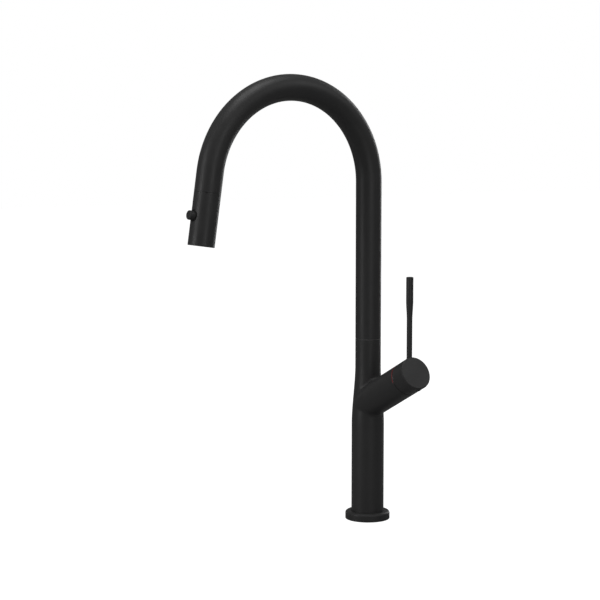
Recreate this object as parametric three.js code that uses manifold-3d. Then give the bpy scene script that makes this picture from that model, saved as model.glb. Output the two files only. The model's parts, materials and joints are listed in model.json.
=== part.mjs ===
// A high-arc pull-down kitchen faucet: a lathe-turned column with a slanted valve housing on its side, a
// swivelling gooseneck spout, a spray head that pulls out of the spout on its hose, and a cap-and-lever handle
// over a single-lever mixing cartridge. Lengths are in millimetres and +Z is up. The worktop is the plane z = 0
// and the column stands on the origin. The spout reaches toward -Y and the handle stands off toward +X.

import * as THREE from "three";
import { mergeVertices } from "three/addons/utils/BufferGeometryUtils.js";
import Module from "manifold-3d";

const wasm = await Module();
wasm.setup();

const rad = THREE.MathUtils.degToRad;

// ---------------------------------------------------------------- driving dimensions

const GAP = 0.3; // running and seating clearance between neighbouring pieces
const ROUND = 32; // sides of a visible round piece
const FITTED = 20; // sides of a hidden round piece that fits in or over another
const PLAIN = 12; // sides of a small or loose round piece

const SPOUT_R = 14; // outside radius of the spout tube, the neck and the spray head
const SPOUT_WALL = 1.2;
const ARC_R = 101.3; // centreline radius of the gooseneck
const SPRING_Z = 371.2; // height at which the gooseneck starts to bend
const ARC_SWEEP = 171.44; // degrees the gooseneck turns through
const ARC_STEPS = 26;
const TAIL = 21.7; // straight end of the spout, down to the spray head

const HOSE_R = 6.2;
const HOSE_BORE = 3.2;
const PIPE_R = 2.9;
const PIPE_BORE = 2.1;
const PIPE_FAN = 50; // degrees between neighbouring water tails, which stand round the hose
const PIPE_BEND = 6; // centreline radius where a tail turns into its port

const COLUMN_R = 17.8;
const SWIVEL_Z = 200; // top of the neck, under the spout
const FLANGE_OUT = 6.7; // how far the foot flange stands out from the column
const FLANGE_H = 8.8;
const FLANGE_FLOOR = 2.2;
const DECK = 30; // worktop thickness the fixings are drawn up against
const SHANK_WALL = 2.2;
const SHANK_IN = 20; // length of the shank inside the column
const SHANK_DOWN = 18; // length of the shank below the worktop
const TAIL_DOWN = 8; // the tails and the hose end this far below the shank

const BRANCH_Z = 128.4; // height at which the valve housing's axis leaves the column
const BRANCH_TILT = 27.3; // degrees that axis rises
const BRANCH_R = 18;
const BRANCH_END = 76.4; // along the branch axis, from the column's axis
const VALVE_WALL = 3;

const SEAL_T = 1; // thicknesses of the cartridge's pieces, along the branch
const BASE_T = 5.8;
const DISC_T = 3;
const CARRIER_T = 5;
const ROTOR_T = 9.8;
const LID_T = 1.6;
const SKIRT = 2.4; // how far the dome ring's skirt reaches into the housing
const HOUSING_WALL = 3.4;
const PORT_R = 1.6;
const DISC_TRAVEL = 3;
const TILT_MAX = 25; // degrees the handle tilts

const POST_R = 3; // stem through the dome ring
const PIVOT_RISE = 4.1; // the handle's pivot, above the rotor's floor
const CAP_SOLID = 8.7; // metal between the cap's hollow and its face
const CAP_FACE = 2.6; // metal between the stem's socket and the face
const LEVER_IN = 13.4; // where the lever's upright axis crosses the branch axis, in from the cap's face
const LEVER_SUNK = 6.5; // how deep the lever is let into the cap
const LEVER_LENGTH = 93.3;
const LEVER_R = 3;
const GRIP_R = 3.85;
const GRIP_LENGTH = 24.6;
const GRIP_TAPER = 21;
const SCREW_IN = 4.5; // set screw's axis, in from the cap's face
const SCREW_R = 2.1;
const STRIP_T = 0.7; // temperature mark let into the housing's rim
const STRIP_WIDE = 0.8;

const HEAD_LENGTH = 55.2;
const HEAD_WALL = 1.4;
const COLLAR_TOP = 15; // the spray head's collar stands this far into the spout
const DOCK_WALL = 0.9;
const NUT_TOP = 13;
const LEAD_TOP = 21.3; // the moving hose is drawn up to here
const INLET_DEPTH = 14;
const BUTTON_Z = -25; // below the spray head's top
const BUTTON_R = 5.1;
const BUTTON_OUT = 5.6; // how far it stands out of the shell
const BUTTON_TRAVEL = 3;
const SPOOL_R = 3.2;
const BEZEL_WIDE = 1.3;
const AERATOR_R = 5.4;
const AERATOR_WALL = 1.4;
const JETS = 14;

// ---------------------------------------------------------------- fits worked out from them

const tubeBore = SPOUT_R - SPOUT_WALL;
const bushWall = 1;
const spigotR = tubeBore - GAP - bushWall - GAP;
const spigotBore = spigotR - 2;
const neckBore = spigotR + GAP;

const pipeRing = HOSE_R + PIPE_R + 2 * GAP; // the tails stand round the hose at this radius
const shankBore = pipeRing + PIPE_R + 0.4;
const shankR = shankBore + SHANK_WALL;
const shankSocket = shankR + GAP;
const shankEnd = -DECK - SHANK_DOWN;
const tailEnd = shankEnd - TAIL_DOWN;
const flangeR = COLUMN_R + FLANGE_OUT;
const sealInner = COLUMN_R + 1.6; // groove for the flange's seal
const sealOuter = sealInner + 2;

const valveBore = BRANCH_R - VALVE_WALL;
const valveFit = valveBore - GAP;
const lidTop = BRANCH_END - SKIRT;
const lidUnder = lidTop - LID_T;
const rotorTop = lidUnder - GAP;
const rotorFloor = rotorTop - ROTOR_T;
const carrierTop = rotorFloor - GAP;
const carrierFloor = carrierTop - CARRIER_T;
const movingTop = carrierFloor - GAP;
const movingFloor = movingTop - DISC_T;
const fixedTop = movingFloor - GAP;
const fixedFloor = fixedTop - DISC_T;
const baseTop = fixedFloor - GAP;
const baseFloor = baseTop - BASE_T;
const sealTop = baseFloor - GAP;
const sealFloor = sealTop - SEAL_T;
const valveFloor = sealFloor - GAP;
const housingBore = valveFit - HOUSING_WALL;
const discR = housingBore - GAP;
const movingR = discR - DISC_TRAVEL;
const nutInner = valveFit - 2; // ring nut over the housing's step
const nutFloor = lidTop - 5.7;

const pivotS = rotorFloor + PIVOT_RISE;
const domeR = Math.hypot(BRANCH_R, BRANCH_END - pivotS); // ball cover centred on the pivot
const domeMouth = domeR * Math.sin(rad(TILT_MAX)) + POST_R + 2 * GAP;
const hollowR = domeR + GAP;
const capEnd = pivotS + hollowR + CAP_SOLID;
const socketEnd = capEnd - CAP_FACE;
const screwS = capEnd - SCREW_IN;

const headBore = SPOUT_R - HEAD_WALL;
const collarR = tubeBore - GAP - DOCK_WALL - GAP;
const nutR = HOSE_R + 0.8;
const nutFit = nutR + GAP;
const recessInner = nutFit + 0.7; // the collar's groove for its magnet
const recessOuter = collarR - 0.5;
const lipZ = -2.3; // underside of the lip inside the spray shell's top
const inletFloor = -INLET_DEPTH;
const barrelR = headBore - 2 * GAP;
const barrelEnd = 12 - HEAD_LENGTH;
const plateTop = 6 - HEAD_LENGTH;
const buttonBack = 1.1 - SPOUT_R;
const bezelR = BUTTON_R + GAP + BEZEL_WIDE;

// ---------------------------------------------------------------- shapes

// A closed geometry as a solid that can be joined and cut.
function solid(geometry) {
  const flat = geometry.index ? geometry.toNonIndexed() : geometry;
  const bare = new THREE.BufferGeometry();
  bare.setAttribute("position", flat.getAttribute("position"));
  const merged = mergeVertices(bare, 1e-4);
  const corners = merged.index.array;
  const kept = [];
  for (let i = 0; i < corners.length; i += 3) {
    const [a, b, c] = [corners[i], corners[i + 1], corners[i + 2]];
    if (a !== b && b !== c && c !== a) kept.push(a, b, c);
  }
  return new wasm.Manifold(
    new wasm.Mesh({
      numProp: 3,
      vertProperties: merged.attributes.position.array,
      triVerts: new Uint32Array(kept),
    }),
  );
}

const join = (first, ...more) => more.reduce((all, next) => all.add(next), first);
const cut = (base, ...tools) => tools.reduce((left, tool) => left.subtract(tool), base);

// A solid of revolution about Z. The profile is [radius, z] points, up the outside and down the axis or bore.
function turned(profile, sides = ROUND) {
  const points = profile.map(([r, z]) => new THREE.Vector2(r, z));
  return new THREE.LatheGeometry(points, sides).rotateX(Math.PI / 2);
}

const rod = (r, z0, z1, sides = FITTED) =>
  turned([[0, z0], [r, z0], [r, z1], [0, z1]], sides);

const ring = (inner, outer, z0, z1, sides = FITTED) =>
  turned([[inner, z0], [outer, z0], [outer, z1], [inner, z1], [inner, z0]], sides);

// An O-ring lying level at height z.
function cordRing(major, minor, z) {
  const section = [];
  for (let i = 0; i <= 6; i++) {
    const a = rad(60 * i);
    section.push([major + minor * Math.cos(a), z + minor * Math.sin(a)]);
  }
  return turned(section, FITTED);
}

const alongX = (geometry) => geometry.rotateY(Math.PI / 2);
const alongY = (geometry) => geometry.rotateX(-Math.PI / 2);

const block = (x0, x1, y0, y1, z0, z1) =>
  new THREE.BoxGeometry(x1 - x0, y1 - y0, z1 - z0).translate(
    (x0 + x1) / 2,
    (y0 + y1) / 2,
    (z0 + z1) / 2,
  );

// A route through stations, each a point and the direction there.
class Route extends THREE.Curve {
  constructor(stations) {
    super();
    this.stations = stations;
  }
  at(u) {
    return this.stations[Math.round(u * (this.stations.length - 1))];
  }
  getPointAt(u) {
    return this.at(u).point.clone();
  }
  getTangentAt(u) {
    return this.at(u).along.clone();
  }
}

// A round bar of radius r along a route.
function swept(stations, r, sides) {
  const outline = [];
  for (let i = 0; i < sides; i++) {
    const a = rad((360 * i) / sides);
    outline.push(new THREE.Vector2(r * Math.cos(a), r * Math.sin(a)));
  }
  return new THREE.ExtrudeGeometry(new THREE.Shape(outline), {
    steps: stations.length - 1,
    bevelEnabled: false,
    extrudePath: new Route(stations),
  });
}

const station = (point, along) => ({ point, along });

// ---------------------------------------------------------------- materials

const looks = {
  black: { color: 0x1d1d1f, roughness: 0.5, metalness: 0.35 },
  trim: { color: 0x131315, roughness: 0.4, metalness: 0.1 },
  brass: { color: 0xb08d4a, roughness: 0.35, metalness: 0.9 },
  steel: { color: 0xb9bcc0, roughness: 0.3, metalness: 0.9 },
  rubber: { color: 0x151515, roughness: 0.9, metalness: 0 },
  ceramic: { color: 0xe8e4da, roughness: 0.25, metalness: 0 },
  plastic: { color: 0xd9d9d4, roughness: 0.55, metalness: 0 },
  magnet: { color: 0x6a6c70, roughness: 0.45, metalness: 0.6 },
  hose: { color: 0x2b2c2e, roughness: 0.6, metalness: 0.2 },
  red: { color: 0xb81c1c, roughness: 0.25, metalness: 0 },
  blue: { color: 0x1c45b8, roughness: 0.25, metalness: 0 },
};

function piece(name, made, look) {
  const form = made.isBufferGeometry ? solid(made) : made;
  const mesh = form.getMesh();
  const indexed = new THREE.BufferGeometry();
  indexed.setAttribute("position", new THREE.BufferAttribute(new Float32Array(mesh.vertProperties), 3));
  indexed.setIndex(new THREE.BufferAttribute(new Uint32Array(mesh.triVerts), 1));
  const faceted = indexed.toNonIndexed();
  faceted.computeVertexNormals();
  const made3d = new THREE.Mesh(faceted, new THREE.MeshStandardMaterial(looks[look]));
  made3d.name = name;
  return made3d;
}

// ---------------------------------------------------------------- frames

// The valve housing's frame: local +Z runs out along the branch, local -X is its upper side.
const branchFrame = new THREE.Matrix4()
  .makeRotationY(rad(90 - BRANCH_TILT))
  .setPosition(0, 0, BRANCH_Z);

const inBranch = (geometry) => geometry.applyMatrix4(branchFrame);

// Where the gooseneck ends, which way it points there, and the spray head's frame at the seam below it:
// local -Z runs down the head and local -Y faces away from the column.
const sweepEnd = rad(ARC_SWEEP);
const arcPoint = (a) =>
  new THREE.Vector3(0, -ARC_R + ARC_R * Math.cos(a), SPRING_Z + ARC_R * Math.sin(a));
const arcAlong = (a) => new THREE.Vector3(0, -Math.sin(a), Math.cos(a));
const tailPoint = (along) => arcPoint(sweepEnd).addScaledVector(arcAlong(sweepEnd), along);
const headTilt = rad(ARC_SWEEP - 180);

// ---------------------------------------------------------------- column, neck and valve housing

// The column draws in to the neck: heights from the branch axis, and the share of the way to the neck's radius.
const TAPER = [
  [-23.2, 0],
  [-11.2, 0.105],
  [-0.2, 0.29],
  [10.8, 0.526],
  [20.8, 0.75],
  [31.8, 0.921],
  [43.8, 1],
];
const COLUMN_BORE_TOP = 10.8; // above the branch axis

// The three tails leave the column's bore at these offsets across the branch.
const tailAngles = [-PIPE_FAN, 0, PIPE_FAN];
const pipeX = (angle) => pipeRing * Math.cos(rad(angle));
const pipeY = (angle) => pipeRing * Math.sin(rad(angle));

function columnForm() {
  const foot = FLANGE_FLOOR + GAP;
  const chamfer = 0.4;
  const outline = [[0, foot], [COLUMN_R - chamfer, foot], [COLUMN_R, foot + chamfer]];
  TAPER.forEach(([rise, share]) => {
    outline.push([COLUMN_R + (SPOUT_R - COLUMN_R) * share, BRANCH_Z + rise]);
  });
  outline.push([SPOUT_R, SWIVEL_Z - GAP], [SPOUT_R - GAP, SWIVEL_Z], [0, SWIVEL_Z]);
  return solid(turned(outline));
}

// The way for the shank, the tails and the hose, the spigot's seat in the neck, and the slip washer's rebate.
function columnBore() {
  const bore = shankBore + 0.1;
  const boreTop = BRANCH_Z + COLUMN_BORE_TOP;
  const rebate = tubeBore + GAP;
  return solid(
    turned([
      [0, 0],
      [shankSocket, 0],
      [shankSocket, SHANK_IN + GAP],
      [bore, SHANK_IN + GAP],
      [bore, boreTop],
      [neckBore, boreTop + 3],
      [neckBore, SWIVEL_Z - 1],
      [rebate, SWIVEL_Z - 1],
      [rebate, SWIVEL_Z + 1],
      [0, SWIVEL_Z + 1],
    ], FITTED),
  );
}

// A tail's port: a wide mouth where the tail bends in from the bore, then a fit round the tail.
function tailPort(angle) {
  const mouth = PIPE_R + 1.6;
  const fit = PIPE_R + GAP;
  const drill = [[0, 6], [mouth, 6], [mouth, 16], [fit, 17.5], [fit, valveFloor + 0.2], [0, valveFloor + 0.2]];
  return solid(inBranch(turned(drill, PLAIN).translate(0, pipeY(angle), 0)));
}

const upperHalf = (y0, y1, low) => block(-BRANCH_R - 5, low, y0, y1, BRANCH_END - 5, BRANCH_END + 5);

function bodyCasting() {
  const root = BRANCH_R - 2; // the branch is slimmer where it is inside the column
  const branch = solid(
    inBranch(turned([[0, 0], [root, 0], [BRANCH_R, root + 1], [BRANCH_R, BRANCH_END], [0, BRANCH_END]])),
  );
  const bore = solid(inBranch(rod(valveBore, valveFloor, BRANCH_END + 1, FITTED)));
  const seatInner = BRANCH_R - STRIP_T - GAP;
  const seatFloor = BRANCH_END - STRIP_WIDE - 0.4;
  const stripSeat = solid(inBranch(ring(seatInner, BRANCH_R + 1, seatFloor, BRANCH_END + 1, ROUND))).intersect(
    solid(inBranch(upperHalf(-BRANCH_R - 5, BRANCH_R + 5, 2 * GAP))),
  );
  const whole = join(columnForm(), branch);
  return piece("body_casting", cut(whole, columnBore(), bore, ...tailAngles.map(tailPort), stripSeat), "black");
}

// ---------------------------------------------------------------- foot and under-deck fixings

const SEAL_GROOVE = 1.8;

function baseFlange() {
  const inner = COLUMN_R + GAP;
  const profile = [
    [shankSocket, 0],
    [sealInner, 0],
    [sealInner, SEAL_GROOVE],
    [sealOuter, SEAL_GROOVE],
    [sealOuter, 0],
    [flangeR - 0.8, 0],
    [flangeR, 0.8],
    [flangeR, FLANGE_H - 2.6],
    [flangeR - 0.5, FLANGE_H - 1.2],
    [flangeR - 1.5, FLANGE_H - 0.3],
    [flangeR - 2.8, FLANGE_H],
    [inner, FLANGE_H],
    [inner, FLANGE_FLOOR],
    [shankSocket, FLANGE_FLOOR],
    [shankSocket, 0],
  ];
  return piece("base_flange", turned(profile), "black");
}

const flangeSeal = () =>
  piece("flange_seal", ring(sealInner + GAP, sealOuter - GAP, 0, SEAL_GROOVE - GAP, ROUND), "rubber");

function shank() {
  const root = shankR - 0.7; // bottom of the thread
  const pitch = 4;
  const outline = [[shankBore, shankEnd], [root, shankEnd]];
  for (let z = shankEnd + 1; z < -DECK - pitch + 1; z += pitch) {
    outline.push([shankR, z], [shankR, z + pitch / 2], [root, z + pitch - 1]);
  }
  outline.push([shankR, -DECK], [shankR, SHANK_IN], [shankBore, SHANK_IN], [shankBore, shankEnd]);
  return piece("shank", turned(outline, FITTED), "brass");
}

const GASKET_T = 2;
const WASHER_T = 1.5;
const NUT_T = 8;
const washerTop = -DECK - GASKET_T - GAP;
const lockNutTop = washerTop - WASHER_T - GAP;

const deckGasket = () =>
  piece("deck_gasket", ring(shankSocket, shankR + 11.8, -DECK - GASKET_T, -DECK), "rubber");

const deckWasher = () =>
  piece("deck_washer", ring(shankSocket, shankR + 10.8, washerTop - WASHER_T, washerTop), "steel");

function lockNut() {
  const hex = solid(rod(shankR + 6.8, lockNutTop - NUT_T, lockNutTop, 6));
  const bore = solid(rod(shankSocket, lockNutTop - NUT_T - 1, lockNutTop + 1));
  return piece("lock_nut", cut(hex, bore), "brass");
}

// A water tail rises beside the hose, then bends into its port in the branch.
function pipeStations(angle, inset = 0) {
  const x = pipeX(angle);
  const y = pipeY(angle);
  const out = new THREE.Vector3(Math.cos(rad(BRANCH_TILT)), 0, Math.sin(rad(BRANCH_TILT)));
  const up = new THREE.Vector3(0, 0, 1);
  const corner = new THREE.Vector3(x, y, BRANCH_Z + x * Math.tan(rad(BRANCH_TILT)));
  const turn = rad(90 - BRANCH_TILT);
  const reach = PIPE_BEND * Math.tan(turn / 2);
  const centre = corner.clone().addScaledVector(up, -reach).add(new THREE.Vector3(PIPE_BEND, 0, 0));
  const stations = [station(new THREE.Vector3(x, y, tailEnd - inset), up.clone())];
  for (let i = 0; i <= 4; i++) {
    const a = (turn * i) / 4;
    const swing = new THREE.Vector3(-PIPE_BEND * Math.cos(a), 0, PIPE_BEND * Math.sin(a));
    stations.push(station(centre.clone().add(swing), new THREE.Vector3(Math.sin(a), 0, Math.cos(a))));
  }
  const end = corner.clone().addScaledVector(out, 14 + inset);
  stations.push(station(end, out.clone()));
  return stations;
}

function waterTail(name, angle) {
  const outside = solid(swept(pipeStations(angle), PIPE_R, 12));
  const inside = solid(swept(pipeStations(angle, 1), PIPE_BORE, 8));
  return piece(name, cut(outside, inside), "brass");
}

// ---------------------------------------------------------------- swivel between neck and spout

const ORING_CORD = 0.6; // cord radius of the spigot's O-rings
const ORING_GROOVE = 1.2;
const ORING_Z = [SWIVEL_Z + 7.2, SWIVEL_Z + 14.2];
const CLIP_T = 0.8;
const CLIP_Z = SWIVEL_Z + 21;
const spigotEnd = SWIVEL_Z + 24;
const hoseJoint = SWIVEL_Z + 26; // where the hose's fixed length meets the length that swivels with the spout

function swivelSpigot() {
  const clipGroove = spigotR - 1;
  const foot = SWIVEL_Z - 12;
  const outline = [[spigotBore, foot], [spigotR, foot]];
  ORING_Z.forEach((z) => {
    outline.push([spigotR, z - 1], [spigotR - ORING_GROOVE, z - 1]);
    outline.push([spigotR - ORING_GROOVE, z + 1], [spigotR, z + 1]);
  });
  const clipHalf = CLIP_T / 2 + GAP;
  outline.push([spigotR, CLIP_Z - clipHalf], [clipGroove, CLIP_Z - clipHalf]);
  outline.push([clipGroove, CLIP_Z + clipHalf], [spigotR, CLIP_Z + clipHalf]);
  outline.push([spigotR, spigotEnd], [spigotBore, spigotEnd], [spigotBore, foot]);
  return piece("swivel_spigot", turned(outline, FITTED), "brass");
}

const spigotORing = (name, z) =>
  piece(name, cordRing(spigotR - ORING_GROOVE + GAP / 2 + ORING_CORD, ORING_CORD, z), "rubber");

function circlip() {
  const whole = solid(ring(spigotR - 1 + GAP, tubeBore - 2 * GAP, CLIP_Z - CLIP_T / 2, CLIP_Z + CLIP_T / 2));
  const mouth = solid(block(-2.5, 2.5, spigotR - 3, tubeBore + 1, CLIP_Z - 2, CLIP_Z + 2));
  return piece("circlip", cut(whole, mouth), "steel");
}

const slipWasher = () =>
  piece("slip_washer", ring(neckBore, tubeBore, SWIVEL_Z - 1 + GAP, SWIVEL_Z + 0.2), "plastic");

const spoutBush = () =>
  piece("spout_bush", ring(neckBore, tubeBore - GAP, SWIVEL_Z + 2, CLIP_Z - CLIP_T / 2 - GAP), "plastic");

// ---------------------------------------------------------------- spout tube and hose

// Stations up the straight, round the gooseneck and down its tail, from height z0 to `drop` past the arc's end.
function spoutStations(z0, drop, steps) {
  const up = new THREE.Vector3(0, 0, 1);
  const stations = [station(new THREE.Vector3(0, 0, z0), up)];
  for (let i = 0; i <= steps; i++) {
    const a = (sweepEnd * i) / steps;
    stations.push(station(arcPoint(a), arcAlong(a)));
  }
  stations.push(station(tailPoint(drop), arcAlong(sweepEnd)));
  return stations;
}

const SEAM = 0.25; // half the seam between the spout and the spray head

function spoutTube() {
  const foot = SWIVEL_Z + 0.2 + GAP;
  const outside = solid(swept(spoutStations(foot, TAIL - SEAM, ARC_STEPS), SPOUT_R, ROUND));
  const sides = 16;
  const corner = tubeBore / Math.cos(Math.PI / sides); // the bore's flats keep clear of what fits in it
  const inside = solid(swept(spoutStations(foot - 1, TAIL + 1, ARC_STEPS), corner, sides));
  return piece("spout_tube", cut(outside, inside), "black");
}

function hoseInSpout() {
  const steps = 18;
  const end = TAIL - LEAD_TOP - GAP;
  const outside = solid(swept(spoutStations(hoseJoint + GAP, end, steps), HOSE_R, 12));
  const inside = solid(swept(spoutStations(hoseJoint - 1, end + 1, steps), HOSE_BORE, 6));
  return piece("hose_in_spout", cut(outside, inside), "hose");
}

const hoseInColumn = () =>
  piece("hose_in_column", ring(HOSE_BORE, HOSE_R, tailEnd, hoseJoint - GAP, PLAIN), "hose");

// ---------------------------------------------------------------- cartridge, in the branch frame

const PIPE_PORT = 2.5; // radius of the seats under the tails
const inletY = movingR - PORT_R - 1;
const inletPorts = [-inletY, inletY];
const pipePorts = [pipeY(-PIPE_FAN), pipeY(PIPE_FAN)];

const drilled = (r, y, z0, z1) => solid(rod(r, z0, z1, PLAIN).translate(0, y, 0));

function portSeal() {
  const disc = solid(rod(valveFit, sealFloor, sealTop));
  const holes = [0, ...pipePorts].map((y) => drilled(PIPE_PORT, y, sealFloor - 1, sealTop + 1));
  return piece("port_seal", cut(disc, ...holes), "rubber");
}

// Wide seats under the tails lead to the disc's narrow inlets, which stand closer in.
function cartridgeBase() {
  const step = baseFloor + BASE_T / 2;
  const disc = solid(rod(valveFit, baseFloor, baseTop));
  const wide = pipePorts.map((y) => drilled(PIPE_PORT, y, baseFloor - 1, step + 0.1));
  const narrow = inletPorts.map((y) => drilled(PORT_R, y, step - 0.1, baseTop + 1));
  const outlet = drilled(PORT_R, 0, baseFloor - 1, baseTop + 1);
  return piece("cartridge_base", cut(disc, ...wide, ...narrow, outlet), "plastic");
}

function fixedDisc() {
  const disc = solid(rod(discR, fixedFloor, fixedTop));
  const holes = [0, ...inletPorts].map((y) => drilled(PORT_R, y, fixedFloor - 1, fixedTop + 1));
  return piece("fixed_disc", cut(disc, ...holes), "ceramic");
}

// Its shallow hollow bridges the inlets to the outlet only once the disc has slid.
function movingDisc() {
  const reach = inletY + 0.8;
  const near = PORT_R + GAP;
  const disc = solid(rod(movingR, movingFloor, movingTop));
  const hollow = solid(block(near, near + 2.5, -reach, reach, movingFloor - 1, movingFloor + DISC_T / 2));
  return piece("moving_disc", cut(disc, hollow), "ceramic");
}

const BALL_R = 2.2; // rounded end of the stem, in the carrier's socket
const ballS = carrierTop - 2.1;

function discCarrier() {
  const puck = solid(rod(movingR, carrierFloor, carrierTop));
  const flare = carrierTop + 0.5;
  const socketR = BALL_R + 0.8;
  const outline = [[0, carrierFloor - 1], [socketR, carrierFloor - 1], [socketR, ballS + GAP]];
  outline.push([socketR + 1.7, flare], [0, flare]);
  return piece("disc_carrier", cut(puck, solid(turned(outline, PLAIN))), "plastic");
}

const PIN_R = 1.2;
const pinHole = (half) => solid(alongY(rod(PIN_R + GAP, -half, half, 12)).translate(0, 0, pivotS));

function cartridgeRotor() {
  const drum = solid(rod(discR, rotorFloor, rotorTop));
  const swing = (ROTOR_T - PIVOT_RISE) * Math.sin(rad(TILT_MAX)) + POST_R + 1; // room for the stem to tilt
  const side = POST_R + 0.4;
  const slot = solid(block(-swing, swing, -side, side, rotorFloor - 1, rotorTop + 1));
  return piece("cartridge_rotor", cut(drum, slot, pinHole(discR + 1)), "plastic");
}

function cartridgeHousing() {
  const step = nutFloor - GAP;
  const neck = nutInner - GAP;
  const mouth = housingBore - 2.3;
  const profile = [
    [housingBore, fixedFloor],
    [valveFit, fixedFloor],
    [valveFit, step],
    [neck, step],
    [neck, lidTop],
    [mouth, lidTop],
    [mouth, lidUnder],
    [housingBore, lidUnder],
    [housingBore, fixedFloor],
  ];
  return piece("cartridge_housing", turned(profile, FITTED), "plastic");
}

const cartridgeNut = () =>
  piece("cartridge_nut", ring(nutInner, valveFit, nutFloor, lidTop - GAP - 0.2), "brass");

const stemPin = () =>
  piece("stem_pin", alongY(rod(PIN_R, 1 - discR, discR - 1, 12)).translate(0, 0, pivotS), "steel");

const STEM_HEAD = 4; // half the width of the stem's square head
const headFoot = socketEnd - GAP - 4;

function valveStem() {
  const ball = solid(new THREE.SphereGeometry(BALL_R, 16, 10).translate(0, 0, ballS));
  const shaft = solid(rod(1.8, ballS, pivotS - 1.8, PLAIN));
  const post = solid(rod(POST_R, pivotS - 2.5, headFoot + 0.4, PLAIN));
  const square = solid(block(-STEM_HEAD, STEM_HEAD, -STEM_HEAD, STEM_HEAD, headFoot, socketEnd - GAP));
  return piece("valve_stem", cut(join(ball, shaft, post, square), pinHole(POST_R + 2)), "steel");
}

// Points of a ball's meridian about the pivot, from one radius off the axis to another.
function meridian(ballR, from, to, steps) {
  const first = Math.acos(from / ballR);
  const last = Math.acos(to / ballR);
  const points = [];
  for (let i = 0; i <= steps; i++) {
    const a = first + ((last - first) * i) / steps;
    points.push([ballR * Math.cos(a), pivotS + ballR * Math.sin(a)]);
  }
  return points;
}

// A ball-shaped cover centred on the pivot, with a skirt that drops into the valve bore.
function domeRing() {
  const wall = 1.2;
  const skirtInner = valveFit - 1.1;
  const rim = BRANCH_END + GAP;
  const edge = Math.sqrt(domeR ** 2 - (rim - pivotS) ** 2);
  const outline = [[valveFit, lidTop], [valveFit, rim], ...meridian(domeR, edge, domeMouth, 5)];
  outline.push(...meridian(domeR - wall, skirtInner, domeMouth, 3).reverse());
  outline.push([skirtInner, lidTop], [valveFit, lidTop]);
  return piece("dome_ring", turned(outline, FITTED), "black");
}

// Half of the temperature mark, let into the housing's rim: side -1 is the spout's side, +1 the wall's.
function indexStrip(name, side, look) {
  const top = BRANCH_END - 0.1;
  const whole = solid(ring(BRANCH_R - STRIP_T, BRANCH_R, top - STRIP_WIDE, top, ROUND));
  const half = side < 0 ? [-BRANCH_R - 5, -0.1] : [0.1, BRANCH_R + 5];
  return piece(name, whole.intersect(solid(upperHalf(half[0], half[1], GAP))), look);
}

// ---------------------------------------------------------------- handle, in the branch frame

// The lever's axis is upright. It crosses the branch axis at leverX, and the lever stands in the cap's top.
const tilt = rad(BRANCH_TILT);
const leverX = (capEnd - LEVER_IN) * Math.cos(tilt);
const leverFoot = BRANCH_Z + leverX * Math.tan(tilt) + BRANCH_R / Math.cos(tilt) - LEVER_SUNK;
const leverTop = leverFoot + LEVER_LENGTH;
const toBranch = branchFrame.clone().invert();
const leverBar = (profile, sides) =>
  turned(profile, sides).translate(leverX, 0, 0).applyMatrix4(toBranch);

const SCREW_FIT = 0.4; // clearance round the set screw and its plug
const capRim = pivotS + Math.sqrt(hollowR ** 2 - BRANCH_R ** 2);

function handleCap() {
  const edge = 0.5;
  const outline = [[0, pivotS], [BRANCH_R, pivotS], [BRANCH_R, capEnd - edge]];
  outline.push([BRANCH_R - edge, capEnd], [0, capEnd]);
  const ball = [];
  for (let i = 0; i <= 16; i++) {
    const a = rad(-90 + (180 * i) / 16);
    ball.push([i % 16 ? hollowR * Math.cos(a) : 0, pivotS + hollowR * Math.sin(a)]);
  }
  const open = solid(rod(BRANCH_R + 7, pivotS - 5, capRim));
  const fit = STEM_HEAD + GAP;
  const socket = solid(block(-fit, fit, -fit, fit, headFoot - 8, socketEnd));
  const low = leverFoot - GAP;
  const high = leverFoot + BRANCH_R + 4;
  const leverFit = LEVER_R + GAP;
  const leverHole = solid(leverBar([[0, low], [leverFit, low], [leverFit, high], [0, high]], PLAIN));
  const screwFit = SCREW_R + SCREW_FIT;
  const screwHole = solid(alongX(rod(screwFit, STEM_HEAD, BRANCH_R + 2, 12)).translate(0, 0, screwS));
  const drum = solid(turned(outline));
  const hollow = solid(turned(ball));
  return piece("handle_cap", cut(drum, hollow, open, socket, leverHole, screwHole), "black");
}

function lever() {
  const profile = [
    [0, leverFoot],
    [LEVER_R, leverFoot],
    [LEVER_R, leverTop - GRIP_LENGTH - GRIP_TAPER],
    [GRIP_R, leverTop - GRIP_LENGTH],
    [GRIP_R, leverTop - 0.8],
    [GRIP_R - 0.8, leverTop],
    [0, leverTop],
  ];
  return piece("lever", leverBar(profile, FITTED), "black");
}

const setScrew = () =>
  piece("set_screw", alongX(rod(SCREW_R, STEM_HEAD + GAP, STEM_HEAD + 5, 12)).translate(0, 0, screwS), "steel");

function screwPlug() {
  const plug = rod(SCREW_R + SCREW_FIT - GAP, BRANCH_R - 3.4, BRANCH_R + 0.4, 12);
  return piece("screw_plug", alongX(plug).translate(0, 0, screwS), "trim");
}

// ---------------------------------------------------------------- dock, in the head's frame

const dockTop = COLLAR_TOP + 1.3;

const dockRing = () => piece("dock_ring", ring(collarR + GAP, tubeBore - GAP, 0.8, dockTop), "plastic");

const dockMagnet = () =>
  piece("dock_magnet", ring(recessInner + 0.6, tubeBore - GAP, dockTop + GAP, dockTop + GAP + 2), "magnet");

const hoseLead = () => piece("hose_lead", ring(HOSE_BORE, HOSE_R, NUT_TOP + GAP, LEAD_TOP, PLAIN), "hose");

const NUT_SEAL = [-7.4, -5]; // the nut's groove for its O-ring
const NUT_GROOVE = 1.1;
const nutFoot = 0.5 - INLET_DEPTH + 4;

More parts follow.
